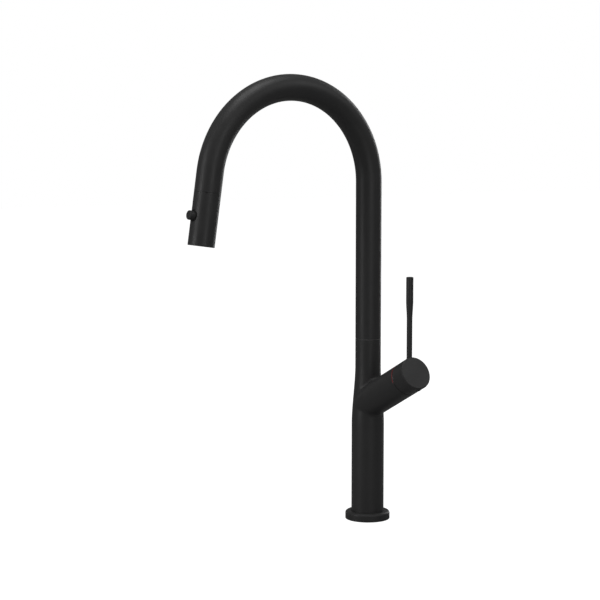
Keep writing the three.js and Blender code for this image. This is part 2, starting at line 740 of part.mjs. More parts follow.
function hoseNut() {
  const [low, high] = NUT_SEAL;
  const profile = [
    [HOSE_BORE, nutFoot],
    [nutR, nutFoot],
    [nutR, low],
    [nutR - NUT_GROOVE, low],
    [nutR - NUT_GROOVE, high],
    [nutR, high],
    [nutR, NUT_TOP],
    [HOSE_BORE, NUT_TOP],
    [HOSE_BORE, nutFoot],
  ];
  return piece("hose_nut", turned(profile, PLAIN), "brass");
}

function nutORing() {
  const cord = 0.5;
  const middle = (NUT_SEAL[0] + NUT_SEAL[1]) / 2;
  return piece("nut_oring", cordRing(nutR - NUT_GROOVE + 0.2 + cord, cord, middle), "rubber");
}

// ---------------------------------------------------------------- spray head, in the head's frame

const VALVE_R = 3.7; // check valve in the inlet's floor
const seatFloor = inletFloor + 4; // the hose nut seats above this

function sprayInlet() {
  const profile = [
    [VALVE_R + GAP, inletFloor],
    [headBore - 2.6, inletFloor],
    [headBore - 2.6, -5],
    [headBore - GAP, -5],
    [headBore - GAP, lipZ - GAP],
    [collarR, lipZ - GAP],
    [collarR, COLLAR_TOP - 0.6],
    [recessOuter, COLLAR_TOP],
    [recessOuter, COLLAR_TOP - 2],
    [recessInner, COLLAR_TOP - 2],
    [recessInner, COLLAR_TOP],
    [nutFit, COLLAR_TOP],
    [nutFit, seatFloor],
    [VALVE_R + GAP, seatFloor],
    [VALVE_R + GAP, inletFloor],
  ];
  return piece("spray_inlet", turned(profile, FITTED), "plastic");
}

function collarMagnet() {
  const magnet = ring(recessInner + GAP, recessOuter - GAP, COLLAR_TOP - 2 + GAP, COLLAR_TOP);
  return piece("collar_magnet", magnet, "magnet");
}

const checkValve = () =>
  piece("check_valve", ring(2, VALVE_R, inletFloor + GAP, seatFloor - GAP, PLAIN), "plastic");

const atButton = (geometry) => alongY(geometry).translate(0, 0, BUTTON_Z);

function sprayShell() {
  const edge = 0.5;
  const profile = [
    [headBore, -HEAD_LENGTH],
    [SPOUT_R - edge, -HEAD_LENGTH],
    [SPOUT_R, edge - HEAD_LENGTH],
    [SPOUT_R, -SEAM - GAP],
    [SPOUT_R - GAP, -SEAM],
    [collarR + GAP, -SEAM],
    [collarR + GAP, lipZ],
    [headBore, lipZ],
    [headBore, -HEAD_LENGTH],
  ];
  const window = solid(atButton(rod(bezelR + GAP, -SPOUT_R - 2, -SPOUT_R + 6)));
  return piece("spray_shell", cut(solid(turned(profile)), window), "black");
}

const SPOOL_FRONT = 3; // the spool's inner end, past the head's axis, with the button out
const springFront = SPOOL_FRONT + 0.4;
const springBack = springFront + 5.6;

// A bored barrel: the feed comes down its middle, the spool crosses it, and two ways lead on to the face. A
// pocket on the button's side leaves room for the button's travel.
function diverterBody() {
  const barrel = solid(rod(barrelR, barrelEnd, inletFloor - GAP));
  const feed = solid(rod(4, BUTTON_Z, inletFloor, PLAIN));
  const spoolBore = solid(atButton(rod(SPOOL_R + GAP, -barrelR - 1, springBack + 0.4, PLAIN)));
  const pocket = solid(atButton(rod(BUTTON_R + GAP, -barrelR - 1, buttonBack + BUTTON_TRAVEL + GAP, FITTED)));
  const streamWay = solid(rod(2.5, barrelEnd - 1, BUTTON_Z, PLAIN));
  const sprayWay = solid(rod(1.6, barrelEnd - 1, BUTTON_Z, PLAIN).translate(0, SPOOL_FRONT + 3.6, 0));
  return piece("diverter_body", cut(barrel, feed, spoolBore, pocket, streamWay, sprayWay), "plastic");
}

const STUB_R = 1.6; // the spool's stub, in the button
const stubEnd = buttonBack - 3.1;

function diverterSpool() {
  const waist = SPOOL_R - 1.4;
  const profile = [
    [0, stubEnd],
    [STUB_R, stubEnd],
    [STUB_R, buttonBack + GAP],
    [SPOOL_R, buttonBack + GAP],
    [SPOOL_R, -4],
    [waist, -4],
    [waist, 0],
    [SPOOL_R, 0],
    [SPOOL_R, SPOOL_FRONT],
    [0, SPOOL_FRONT],
  ];
  return piece("diverter_spool", atButton(turned(profile, PLAIN)), "brass");
}

// The return spring stands in the bore behind the spool.
function buttonSpring() {
  const turns = 3;
  const steps = 10 * turns;
  const wire = 0.3;
  const coil = SPOOL_R - 0.8;
  const rise = springBack - springFront - 2 * wire;
  const stations = [];
  for (let i = 0; i <= steps; i++) {
    const a = (2 * Math.PI * turns * i) / steps;
    const y = springFront + wire + (rise * i) / steps;
    const point = new THREE.Vector3(coil * Math.cos(a), y, BUTTON_Z + coil * Math.sin(a));
    const pitch = rise / (2 * Math.PI * turns);
    const along = new THREE.Vector3(-coil * Math.sin(a), pitch, coil * Math.cos(a)).normalize();
    stations.push(station(point, along));
  }
  return piece("button_spring", swept(stations, wire, 6), "steel");
}

function buttonCap() {
  const face = -SPOUT_R - BUTTON_OUT;
  const edge = 0.6;
  const profile = [
    [0, face],
    [BUTTON_R - edge, face],
    [BUTTON_R, face + edge],
    [BUTTON_R, buttonBack],
    [STUB_R + GAP, buttonBack],
    [STUB_R + GAP, stubEnd - GAP],
    [0, stubEnd - GAP],
  ];
  return piece("button_cap", atButton(turned(profile, FITTED)), "black");
}

const buttonBezel = () =>
  piece("button_bezel", atButton(ring(BUTTON_R + GAP, bezelR, 0.5 - SPOUT_R, -barrelR - GAP)), "trim");

const faceOut = -HEAD_LENGTH;

function sprayPlate() {
  const inner = AERATOR_R + GAP;
  const outer = headBore - GAP;
  const ringR = (inner + outer) / 2;
  const jets = [];
  for (let i = 0; i < JETS; i++) {
    const a = (2 * Math.PI * i) / JETS;
    const jet = rod(0.7, faceOut - 1, plateTop + 1, 6).translate(ringR * Math.cos(a), ringR * Math.sin(a), 0);
    jets.push(solid(jet));
  }
  return piece("spray_plate", cut(solid(ring(inner, outer, faceOut + 0.4, plateTop)), ...jets), "trim");
}

const aeratorBore = AERATOR_R - AERATOR_WALL;

const aeratorHousing = () =>
  piece("aerator_housing", ring(aeratorBore, AERATOR_R, faceOut + 0.6, barrelEnd - GAP), "steel");

function aeratorInsert() {
  const disc = solid(rod(aeratorBore - GAP, faceOut + 1, plateTop, PLAIN));
  const half = aeratorBore * 0.65;
  const slots = [-2, 0, 2].map((x) => solid(block(x - 0.4, x + 0.4, -half, half, faceOut - 1, plateTop + 1)));
  return piece("aerator_insert", cut(disc, ...slots), "plastic");
}

// ---------------------------------------------------------------- assembly

const faucet = new THREE.Group();
faucet.name = "pull_down_kitchen_faucet";

faucet.add(
  bodyCasting(),
  baseFlange(),
  flangeSeal(),
  shank(),
  deckGasket(),
  deckWasher(),
  lockNut(),
  waterTail("cold_inlet_tail", PIPE_FAN),
  waterTail("hot_inlet_tail", -PIPE_FAN),
  waterTail("outlet_tail", 0),
  hoseInColumn(),
  swivelSpigot(),
  spigotORing("lower_oring", ORING_Z[0]),
  spigotORing("upper_oring", ORING_Z[1]),
  circlip(),
  slipWasher(),
  spoutBush(),
  spoutTube(),
  hoseInSpout(),
);

const branch = new THREE.Group();
branch.name = "valve_and_handle";
branch.applyMatrix4(branchFrame);
branch.add(
  portSeal(),
  cartridgeBase(),
  fixedDisc(),
  movingDisc(),
  discCarrier(),
  cartridgeRotor(),
  cartridgeHousing(),
  cartridgeNut(),
  stemPin(),
  valveStem(),
  domeRing(),
  indexStrip("hot_index", -1, "red"),
  indexStrip("cold_index", 1, "blue"),
  handleCap(),
  lever(),
  setScrew(),
  screwPlug(),
);
faucet.add(branch);

const head = new THREE.Group();
head.name = "dock_and_spray_head";
head.position.copy(tailPoint(TAIL));
head.rotation.x = headTilt;
head.add(
  dockRing(),
  dockMagnet(),
  hoseLead(),
  hoseNut(),
  nutORing(),
  sprayInlet(),
  collarMagnet(),
  checkValve(),
  sprayShell(),
  diverterBody(),
  diverterSpool(),
  buttonSpring(),
  buttonCap(),
  buttonBezel(),
  sprayPlate(),
  aeratorHousing(),
  aeratorInsert(),
);
faucet.add(head);

export default faucet;
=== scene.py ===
# %% [markdown]
# # A matte black pull-down kitchen faucet
# This lesson dresses a working CAD model. The CAD pieces already have their places, their joints and their
# sizes, so each visible piece is modelled again as a fine mesh in the same place, and each hidden piece
# keeps its CAD mesh and gets a finish. The first cell loads the CAD model as a fixed frame.

# %% Load the frame
import json
import math

import bmesh
import bpy
import numpy as np
from mathutils import Matrix, Vector


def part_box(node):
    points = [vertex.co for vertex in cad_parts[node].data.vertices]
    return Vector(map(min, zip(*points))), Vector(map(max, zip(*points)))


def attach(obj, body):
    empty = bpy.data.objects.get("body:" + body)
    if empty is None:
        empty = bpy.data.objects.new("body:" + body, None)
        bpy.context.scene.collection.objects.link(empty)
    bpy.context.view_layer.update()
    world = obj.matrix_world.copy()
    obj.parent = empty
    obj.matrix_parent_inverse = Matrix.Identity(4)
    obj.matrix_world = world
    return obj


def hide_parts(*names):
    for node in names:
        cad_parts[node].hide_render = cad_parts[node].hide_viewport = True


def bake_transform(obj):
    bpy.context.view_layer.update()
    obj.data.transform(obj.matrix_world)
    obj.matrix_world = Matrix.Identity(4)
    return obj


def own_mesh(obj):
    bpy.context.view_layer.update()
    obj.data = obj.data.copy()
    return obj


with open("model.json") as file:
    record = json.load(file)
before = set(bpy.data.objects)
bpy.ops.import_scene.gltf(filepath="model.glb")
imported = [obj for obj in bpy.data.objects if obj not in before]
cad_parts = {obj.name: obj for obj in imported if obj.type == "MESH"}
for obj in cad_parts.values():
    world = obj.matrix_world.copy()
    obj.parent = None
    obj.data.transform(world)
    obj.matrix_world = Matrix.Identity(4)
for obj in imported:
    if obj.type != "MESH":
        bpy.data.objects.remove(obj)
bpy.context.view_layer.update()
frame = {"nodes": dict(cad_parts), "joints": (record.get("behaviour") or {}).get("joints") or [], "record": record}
joints = {joint["name"]: joint for joint in frame["joints"]}
MM = 0.001

# %% [markdown]
# ## Camera
# A tall, thin thing is best seen through a long lens from a little above, so that its verticals stay nearly
# upright. The camera is made first, because the framing decides how fine each surface has to be. It stands
# where it sees the outside of the spout on the left and the handle on the right.

# %% Camera
CAMERA_PLACE = Vector((1.5300, -1.1377, 0.4454))
CAMERA_AZIMUTH = 55.61
CAMERA_PITCH = 6.08
SENSOR = 36.0
LENS = 105.16


def looking(azimuth, pitch):
    """The direction of a camera at that azimuth (0 looks along +Y) whose view falls by pitch degrees."""
    a, p = math.radians(azimuth), math.radians(pitch)
    return Vector((-math.sin(a) * math.cos(p), math.cos(a) * math.cos(p), -math.sin(p)))


camera_data = bpy.data.cameras.new("studio_camera")
camera_data.sensor_width = SENSOR
camera_data.lens = LENS
camera = bpy.data.objects.new("studio_camera", camera_data)
bpy.context.scene.collection.objects.link(camera)
camera.location = CAMERA_PLACE
camera.rotation_mode = "QUATERNION"
camera.rotation_quaternion = looking(CAMERA_AZIMUTH, CAMERA_PITCH).to_track_quat("-Z", "Y")
bpy.context.scene.camera = camera
print("camera lens", LENS, "mm at", [round(v, 3) for v in CAMERA_PLACE])

# %% [markdown]
# ## Reading sizes off the frame
# The main sizes come from the boxes of CAD nodes and from the joints. The joints are the best rulers: the
# handle turns about the housing's axis, the spray head slides along the end of the spout, and each hinge has
# a point on its axis. Two local frames follow, one for the slanted valve housing and one for the spray head.

# %% Sizes and local frames
UP = Vector((0, 0, 1))


def local_frame(origin, axis, side):
    """A matrix whose local Z is axis and whose local Y is side, with its origin at a point."""
    z, y = axis.normalized(), side.normalized()
    x = y.cross(z)
    return Matrix.Translation(origin) @ Matrix((x, y, z)).transposed().to_4x4()


body_low, body_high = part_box("body_casting")
tube_low, tube_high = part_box("spout_tube")
COLUMN_R = -body_low.x
NECK_TOP = body_high.z
BODY_FOOT = body_low.z
TUBE_R = (tube_high.x - tube_low.x) / 2
TUBE_FOOT = tube_low.z

out_axis = Vector(joints["handle_turn"]["axis"]).normalized()
BRANCH = local_frame(Vector(joints["handle_turn"]["pos_m"]), out_axis, Vector((0, 1, 0)))
BRANCH_R = body_high.y
lean = out_axis.z
BRANCH_END = (body_high.x - BRANCH_R * lean) / out_axis.x
PIVOT_S = (Vector(joints["handle_tilt"]["pos_m"]) - BRANCH.translation).dot(out_axis)
CAP_EDGE = 0.5 * MM  # the chamfer of the CAD cap, which sets where its box ends
CAP_END = (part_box("handle_cap")[1].x - (BRANCH_R - CAP_EDGE) * lean) / out_axis.x

pull_axis = Vector(joints["spray_pull"]["axis"]).normalized()
SEAM = Vector(joints["spray_twist"]["pos_m"])
HEAD = local_frame(SEAM, -pull_axis, Vector((0, -pull_axis.z, pull_axis.y)))
SEAM_GAP = 0.08 * MM

sweep = math.atan2(-pull_axis.y, pull_axis.z)
ring_sums = np.array(
    [[math.cos(sweep) - 1, pull_axis.y], [math.sin(sweep) - 1, pull_axis.z]]
)
ARC_R, TAIL = np.linalg.solve(ring_sums, [SEAM.y, SEAM.z - tube_high.z + TUBE_R])
SPRING_Z = tube_high.z - TUBE_R - ARC_R
print(f"gooseneck: radius {ARC_R / MM:.1f}, sweep {math.degrees(sweep):.1f} deg, tail {TAIL / MM:.1f} mm")
print(f"housing: radius {BRANCH_R / MM:.1f}, ends {BRANCH_END / MM:.1f}, cap ends {CAP_END / MM:.1f} mm")

# %% [markdown]
# ## Shared shader effects
# Matte coatings, mouldings and castings all have a fine grain: a skin of tiny bumps that breaks up the
# gloss. One node group makes it from noise at two sizes, and every finish below places the group with its
# own values. It gives out a height for a Bump node, a soft patchiness, and a mask of sparse dust specks.

# %% Grain group
def new_group(name, inputs, outputs):
    """An empty shader group with float inputs {name: default} and outputs [name]."""
    group = bpy.data.node_groups.new(name, "ShaderNodeTree")
    for label, default in inputs.items():
        socket = group.interface.new_socket(label, in_out="INPUT", socket_type="NodeSocketFloat")
        socket.default_value = default
    for label in outputs:
        group.interface.new_socket(label, in_out="OUTPUT", socket_type="NodeSocketFloat")
    return group, group.nodes.new("NodeGroupInput"), group.nodes.new("NodeGroupOutput")


def noise(tree, vector, scale, detail, roughness=0.5):
    """A noise texture node on a vector socket; scale is a number or a socket."""
    node = tree.nodes.new("ShaderNodeTexNoise")
    node.inputs["Detail"].default_value = detail
    node.inputs["Roughness"].default_value = roughness
    tree.links.new(vector, node.inputs["Vector"])
    if isinstance(scale, (int, float)):
        node.inputs["Scale"].default_value = scale
    else:
        tree.links.new(scale, node.inputs["Scale"])
    return node.outputs["Fac"]


def math_node(tree, operation, first, second):
    """A math node whose two operands are numbers or sockets."""
    node = tree.nodes.new("ShaderNodeMath")
    node.operation = operation
    for socket, value in zip(node.inputs, (first, second)):
        if isinstance(value, (int, float)):
            socket.default_value = value
        else:
            tree.links.new(value, socket)
    return node.outputs[0]


def step_between(tree, value, low, high):
    """A value squeezed from the range low to high into 0 to 1."""
    node = tree.nodes.new("ShaderNodeMapRange")
    node.inputs["From Min"].default_value = low
    node.inputs["From Max"].default_value = high
    tree.links.new(value, node.inputs["Value"])
    return node.outputs["Result"]


def make_grain():
    group, inside, outside = new_group(
        "surface_grain", {"Grain Scale": 2500.0, "Patch Scale": 60.0}, ["Height", "Patches", "Specks"]
    )
    place = group.nodes.new("ShaderNodeTexCoord").outputs["Object"]
    fine = noise(group, place, inside.outputs["Grain Scale"], 2.0, 0.6)
    coarse_scale = math_node(group, "MULTIPLY", inside.outputs["Grain Scale"], 0.35)
    coarse = noise(group, place, coarse_scale, 1.0)
    height = math_node(group, "ADD", fine, math_node(group, "MULTIPLY", coarse, 0.8))
    patches = noise(group, place, inside.outputs["Patch Scale"], 4.0)
    speck_noise = noise(group, place, inside.outputs["Grain Scale"], 0.0)
    group.links.new(height, outside.inputs["Height"])
    group.links.new(step_between(group, patches, 0.35, 0.65), outside.inputs["Patches"])
    group.links.new(step_between(group, speck_noise, 0.74, 0.8), outside.inputs["Specks"])
    return group


GRAIN = make_grain()
print("grain group sockets:", [item.name for item in GRAIN.interface.items_tree])

# %% [markdown]
# ## Finishes
# Each finish is a Principled BSDF fed by the grain group. Numbers that are the same all over are set on the
# shader itself; only what changes over the surface comes through nodes. `finish_material` builds the common
# part, with a colour that drifts between two close tones, a roughness that drifts between two values, and a
# grain bump.

# %% Common finish
def shade(tree, factor, first, second):
    """A colour mixed between two linear colours by a factor socket."""
    node = tree.nodes.new("ShaderNodeMix")
    node.data_type = "RGBA"
    node.inputs["A"].default_value = (*first, 1)
    node.inputs["B"].default_value = (*second, 1)
    tree.links.new(factor, node.inputs["Factor"])
    return node.outputs["Result"]


def finish_material(name, tones, rough, metallic=0.0, grain=2500.0, depth=0.02, patch=60.0, specular=0.5):
    """A material whose colour and roughness drift between two values, with a grain bump."""
    material = bpy.data.materials.new(name)
    material.use_nodes = True
    tree = material.node_tree
    shader = tree.nodes["Principled BSDF"]
    effect = tree.nodes.new("ShaderNodeGroup")
    effect.node_tree = GRAIN
    effect.inputs["Grain Scale"].default_value = grain
    effect.inputs["Patch Scale"].default_value = patch
    tree.links.new(shade(tree, effect.outputs["Patches"], *tones), shader.inputs["Base Color"])
    roughness = tree.nodes.new("ShaderNodeMapRange")
    roughness.inputs["To Min"].default_value, roughness.inputs["To Max"].default_value = rough
    tree.links.new(effect.outputs["Patches"], roughness.inputs["Value"])
    tree.links.new(roughness.outputs["Result"], shader.inputs["Roughness"])
    bump = tree.nodes.new("ShaderNodeBump")
    bump.inputs["Strength"].default_value = 0.5
    bump.inputs["Distance"].default_value = depth * MM
    tree.links.new(effect.outputs["Height"], bump.inputs["Height"])
    tree.links.new(bump.outputs["Normal"], shader.inputs["Normal"])
    shader.inputs["Metallic"].default_value = metallic
    shader.inputs["Specular IOR Level"].default_value = specular
    return material


POWDER = finish_material(
    "matte_black_powder_coat", [(0.031, 0.031, 0.0313), (0.033, 0.033, 0.0333)], (0.4, 0.48), specular=0.3
)
TRIM = finish_material("satin_black_trim", [(0.006, 0.006, 0.0065), (0.008, 0.008, 0.0085)], (0.3, 0.38), depth=0.008)
RUBBER = finish_material("black_rubber", [(0.012, 0.012, 0.012), (0.018, 0.018, 0.018)], (0.75, 0.9), grain=1500.0)
BRASS = finish_material("machined_brass", [(0.56, 0.36, 0.13), (0.48, 0.3, 0.1)], (0.22, 0.36), 1.0, 900.0, 0.006)
STEEL = finish_material("bright_steel", [(0.5, 0.5, 0.51), (0.42, 0.42, 0.43)], (0.2, 0.34), 1.0, 1200.0, 0.005)
MAGNET = finish_material("nickel_magnet", [(0.34, 0.34, 0.35), (0.26, 0.26, 0.27)], (0.3, 0.45), 1.0, 1200.0, 0.006)
CERAMIC = finish_material("lapped_ceramic", [(0.78, 0.75, 0.68), (0.72, 0.69, 0.62)], (0.12, 0.2), depth=0.003)
PLASTIC = finish_material("moulded_acetal", [(0.62, 0.62, 0.58), (0.56, 0.56, 0.52)], (0.42, 0.55), depth=0.012)
PLASTIC_DARK = finish_material("grey_acetal", [(0.06, 0.06, 0.062), (0.05, 0.05, 0.052)], (0.4, 0.5), depth=0.01)
RED = finish_material("red_enamel", [(0.3, 0.02, 0.022), (0.26, 0.016, 0.018)], (0.12, 0.18), depth=0.004)
BLUE = finish_material("blue_enamel", [(0.012, 0.045, 0.38), (0.009, 0.035, 0.32)], (0.16, 0.24), depth=0.004)
SEAM_LINE = finish_material("pale_slip_ring", [(0.16, 0.16, 0.16), (0.12, 0.12, 0.12)], (0.5, 0.6), depth=0.006)
print("finishes:", sorted(m.name for m in bpy.data.materials if m.users))

# %% [markdown]
# ## Turning on a lathe
# Most of a faucet is turned, so most pieces here are a profile spun about an axis. `spun` draws the profile
# as a chain of edges and spins it; `soften` bevels every hard rim, because a real edge always catches a
# thin line of light; `make_piece` puts the mesh in its place, names it, gives it its finish and lets it
# ride on its body.

# %% Lathe
def spun(profile, steps=96, angle=2 * math.pi):
    """A bmesh of revolution about local Z from (radius, height) points in metres; a profile that repeats its
    first point closes on itself."""
    bm = bmesh.new()
    closed = profile[0] == profile[-1]
    points = profile[:-1] if closed else profile
    chain = [bm.verts.new((r, 0, z)) for r, z in points]
    pairs = list(zip(chain, chain[1:]))
    if closed:
        pairs.append((chain[-1], chain[0]))
    edges = [bm.edges.new(pair) for pair in pairs]
    whole = abs(angle - 2 * math.pi) < 1e-6
    bmesh.ops.spin(
        bm, geom=chain + edges, cent=(0, 0, 0), axis=(0, 0, 1), angle=angle, steps=steps, use_merge=whole
    )
    bmesh.ops.remove_doubles(bm, verts=bm.verts, dist=1e-7)
    if not whole:
        bmesh.ops.holes_fill(bm, edges=[e for e in bm.edges if e.is_boundary], sides=0)
    bmesh.ops.recalc_face_normals(bm, faces=bm.faces)
    return bm


# %% Bevel
HARD_EDGE = math.radians(28)


def soften(bm, width, segments=3, angle=HARD_EDGE, keep=None):
    """Bevels the edges that turn by more than an angle, or those that keep(edge) picks."""
    edges = [e for e in bm.edges if e.is_manifold and e.calc_face_angle() > angle and (keep is None or keep(e))]
    bmesh.ops.bevel(
        bm,
        geom=edges,
        offset=width,
        offset_type="OFFSET",
        affect="EDGES",
        segments=segments,
        profile=0.5,
        material=-1,
        clamp_overlap=True,
    )
    return bm


# %% Pieces
def make_piece(bm, name, material, body, replaces=(), place=None):
    """Turns a bmesh into a named piece of the faucet that rides on a CAD body."""
    if place is not None:
        bmesh.ops.transform(bm, matrix=place, verts=bm.verts)
    mesh = bpy.data.meshes.new(name)
    bm.to_mesh(mesh)
    bm.free()
    mesh.shade_smooth()
    mesh.set_sharp_from_angle(angle=HARD_EDGE)
    mesh.materials.append(material)
    piece = bpy.data.objects.new(name, mesh)
    bpy.context.scene.collection.objects.link(piece)
    even = piece.modifiers.new("even_shading", "WEIGHTED_NORMAL")
    even.keep_sharp = True
    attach(piece, body)
    if replaces:
        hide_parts(*replaces)
    print(f"{name}: {len(mesh.polygons)} faces on {body}")
    return piece

# %% [markdown]
# ## The body casting
# Column, neck and slanted valve housing are one casting. The column is straight, draws in along a smooth S
# to the neck, and the housing flows out of it at the sides and meets it in a small fillet above and below.
# A boolean would leave a knife edge all round. Instead the two turned shapes are merged by a voxel remesh,
# and each vertex is then moved on to the exact surface of a *smooth union*: the distance to both shapes,
# blended over a width that grows with the angle between them, so that nothing swells where they already lie
# side by side.

# %% Body: the two turned shapes
TAPER_LOW, TAPER_HIGH = 0.1052, 0.1722
ROOT_R = 17.3 * MM
ROOT_LENGTH = 16 * MM
VOXEL = 0.9 * MM


def ease(t):
    """Zero below 0, one above 1, and a smooth S between."""
    t = np.clip(t, 0.0, 1.0)
    return t * t * (3 - 2 * t)


def column_radius(z):
    return COLUMN_R + (TUBE_R - COLUMN_R) * ease((z - TAPER_LOW) / (TAPER_HIGH - TAPER_LOW))


def branch_radius(s):
    return ROOT_R + (BRANCH_R - ROOT_R) * ease(s / ROOT_LENGTH)


def add_to(bm, other):
    """Copies another bmesh into a bmesh, and frees the other."""
    holder = bpy.data.meshes.new("copy")
    other.to_mesh(holder)
    other.free()
    bm.from_mesh(holder)
    bpy.data.meshes.remove(holder)


def merged_rough_body():
    """Both shapes, drawn longer than they are, joined by a voxel remesh."""
    over = 8 * MM
    heights = np.linspace(BODY_FOOT - over, NECK_TOP + over, 60)
    column = [(0, heights[0])] + [(float(column_radius(z)), float(z)) for z in heights] + [(0, heights[-1])]
    reaches = np.linspace(0, BRANCH_END + over, 30)
    housing = [(0, 0)] + [(float(branch_radius(s)), float(s)) for s in reaches] + [(0, reaches[-1])]
    bm = spun(column)
    side = spun(housing)
    bmesh.ops.transform(side, matrix=BRANCH, verts=side.verts)
    add_to(bm, side)
    holder = bpy.data.objects.new("rough_body", bpy.data.meshes.new("rough_body"))
    bm.to_mesh(holder.data)
    bm.free()
    bpy.context.scene.collection.objects.link(holder)
    remesh = holder.modifiers.new("remesh", "REMESH")
    remesh.mode, remesh.voxel_size = "VOXEL", VOXEL
    evaluated = holder.evaluated_get(bpy.context.evaluated_depsgraph_get())
    result = bmesh.new()
    result.from_mesh(evaluated.to_mesh())
    bpy.data.objects.remove(holder)
    return result


# %% Body: moving each vertex on to the smooth union
LOWER_BLEND, UPPER_BLEND, LEAST_BLEND = 6.0 * MM, 2.8 * MM, 0.05 * MM
TO_BRANCH = np.array(BRANCH.inverted())


def body_distance(points):
    """Signed distance, near enough, to the smooth union of column and housing."""
    local = points @ TO_BRANCH[:3, :3].T + TO_BRANCH[:3, 3]
    from_column = np.hypot(points[:, 0], points[:, 1])
    from_branch = np.hypot(local[:, 0], local[:, 1])
    column = from_column - column_radius(points[:, 2])
    housing = np.maximum(from_branch - branch_radius(local[:, 2]), -local[:, 2])
    column_faces = points[:, :2] / np.maximum(from_column, MM)[:, None]
    branch_faces = (local[:, :2] / np.maximum(from_branch, MM)[:, None]) @ TO_BRANCH[:2, :2]
    turn = 1 - (column_faces * branch_faces).sum(axis=1)
    upper = ease((-local[:, 0] / BRANCH_R + 1) / 2)
    width = np.maximum((LOWER_BLEND + (UPPER_BLEND - LOWER_BLEND) * upper) * turn, LEAST_BLEND)
    overlap = np.maximum(width - np.abs(column - housing), 0) / width
    return np.minimum(column, housing) - overlap**2 * width / 4


def settle_on_body(bm):
    """Slides every outer vertex along the distance's slope until the distance is zero."""
    points = np.array([v.co for v in bm.verts])
    moving = np.abs(body_distance(points)) < 2 * VOXEL
    step = 0.01 * MM
    for _ in range(6):
        here = points[moving]
        value = body_distance(here)
        slope = np.stack(
            [
                (body_distance(here + step * axis) - body_distance(here - step * axis)) / (2 * step)
                for axis in np.eye(3)
            ],
            axis=1,
        )
        length = np.maximum((slope**2).sum(axis=1), 0.25)
        points[moving] = here - slope * (value / length)[:, None]
    for vert, place in zip(bm.verts, points):
        vert.co = place
    print("largest miss in mm:", round(float(np.abs(body_distance(points[moving])).max()) / MM, 4))


# %% [markdown]
# The rough ends are cut off at the neck, the foot and the valve. Each cut leaves one loop of edges; it is
# drawn in to a small rounded rim, and a flat ring is filled between the rim and the bore. The bores come
# last: one is bridged from the neck to the foot, and a blind one is pushed in for the valve.

# %% Body: ends and bores
RIM = 0.35 * MM
NECK_BORE, FOOT_BORE, VALVE_BORE = 12.6 * MM, 15.5 * MM, 15.0 * MM
VALVE_DEPTH = 33.7 * MM


def cut_end(bm, point, normal):
    """Cuts away what lies beyond a plane and returns the loop of edges left."""
    cut = bmesh.ops.bisect_plane(
        bm,
        geom=bm.verts[:] + bm.edges[:] + bm.faces[:],
        plane_co=point,
        plane_no=normal,
        clear_outer=True,
        dist=1e-6,
    )
    return [e for e in cut["geom_cut"] if isinstance(e, bmesh.types.BMEdge)]


def draw_in(bm, loop, origin, axis, inward, onward):
    """Extrudes a loop of edges towards an axis and along it, and returns the new loop."""
    made = bmesh.ops.extrude_edge_only(bm, edges=loop)["geom"]
    for vert in (g for g in made if isinstance(g, bmesh.types.BMVert)):
        offset = vert.co - origin
        radial = offset - axis * offset.dot(axis)
        vert.co += axis * onward - radial.normalized() * inward
    return [g for g in made if isinstance(g, bmesh.types.BMEdge) and g.is_boundary]


def round_rim(bm, origin, axis):
    """Cuts an end just short, rounds its rim in three steps and returns the loop in the end's plane."""
    loop = cut_end(bm, origin - axis * RIM, axis)
    angles = [math.pi / 2 * i / 3 for i in range(4)]
    for last, a in zip(angles, angles[1:]):
        inward = RIM * (math.cos(last) - math.cos(a))
        onward = RIM * (math.sin(a) - math.sin(last))
        loop = draw_in(bm, loop, origin, axis, inward, onward)
    return loop


def ring_edges(bm, radius, place, count=96):
    """A circle of edges of that radius in the plane of a place matrix."""
    made = bmesh.ops.create_circle(bm, segments=count, radius=radius, matrix=place)
    found = set(made["verts"])
    return [e for e in bm.edges if e.verts[0] in found and e.verts[1] in found]


def make_body():
    bm = merged_rough_body()
    settle_on_body(bm)
    ends = {
        "neck": round_rim(bm, Vector((0, 0, NECK_TOP)), UP),
        "foot": round_rim(bm, Vector((0, 0, BODY_FOOT)), -UP),
        "valve": round_rim(bm, BRANCH @ Vector((0, 0, BRANCH_END)), out_axis),
    }
    neck = ring_edges(bm, NECK_BORE, Matrix.Translation((0, 0, NECK_TOP)))
    foot = ring_edges(bm, FOOT_BORE, Matrix.Translation((0, 0, BODY_FOOT)))
    valve = ring_edges(bm, VALVE_BORE, BRANCH @ Matrix.Translation((0, 0, BRANCH_END)))
    bmesh.ops.triangle_fill(bm, edges=ends["neck"] + neck, use_beauty=True)
    bmesh.ops.triangle_fill(bm, edges=ends["foot"] + foot, use_beauty=True)
    bmesh.ops.triangle_fill(bm, edges=ends["valve"] + valve, use_beauty=True)
    bmesh.ops.bridge_loops(bm, edges=neck + foot)
    deep = bmesh.ops.extrude_edge_only(bm, edges=valve)["geom"]
    floor = [g for g in deep if isinstance(g, bmesh.types.BMVert)]
    bmesh.ops.translate(bm, verts=floor, vec=-out_axis * VALVE_DEPTH)
    bmesh.ops.holes_fill(bm, edges=[e for e in bm.edges if e.is_boundary], sides=0)
    bmesh.ops.recalc_face_normals(bm, faces=bm.faces)
    print("open edges left:", sum(not e.is_manifold for e in bm.edges))
    return make_piece(bm, "faucet_body", POWDER, "body", ["body_casting"])


faucet_body = make_body()

# %% [markdown]
# ## Foot flange
# A turned ring that hides the hole in the worktop. Its outer rim falls away in a broad quarter round, which
# is what draws the soft crescent of light at the foot of the faucet.

# %% Foot flange
flange_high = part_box("base_flange")[1]
FLANGE_R = flange_high.x
FLANGE_H = flange_high.z
CROWN = 2.6 * MM


def arc(centre, radius, start, end, steps):
    """Profile points on an arc, from one angle to another in degrees."""
    angles = np.radians(np.linspace(start, end, steps + 1))
    return [(centre[0] + radius * math.cos(a), centre[1] + radius * math.sin(a)) for a in angles]


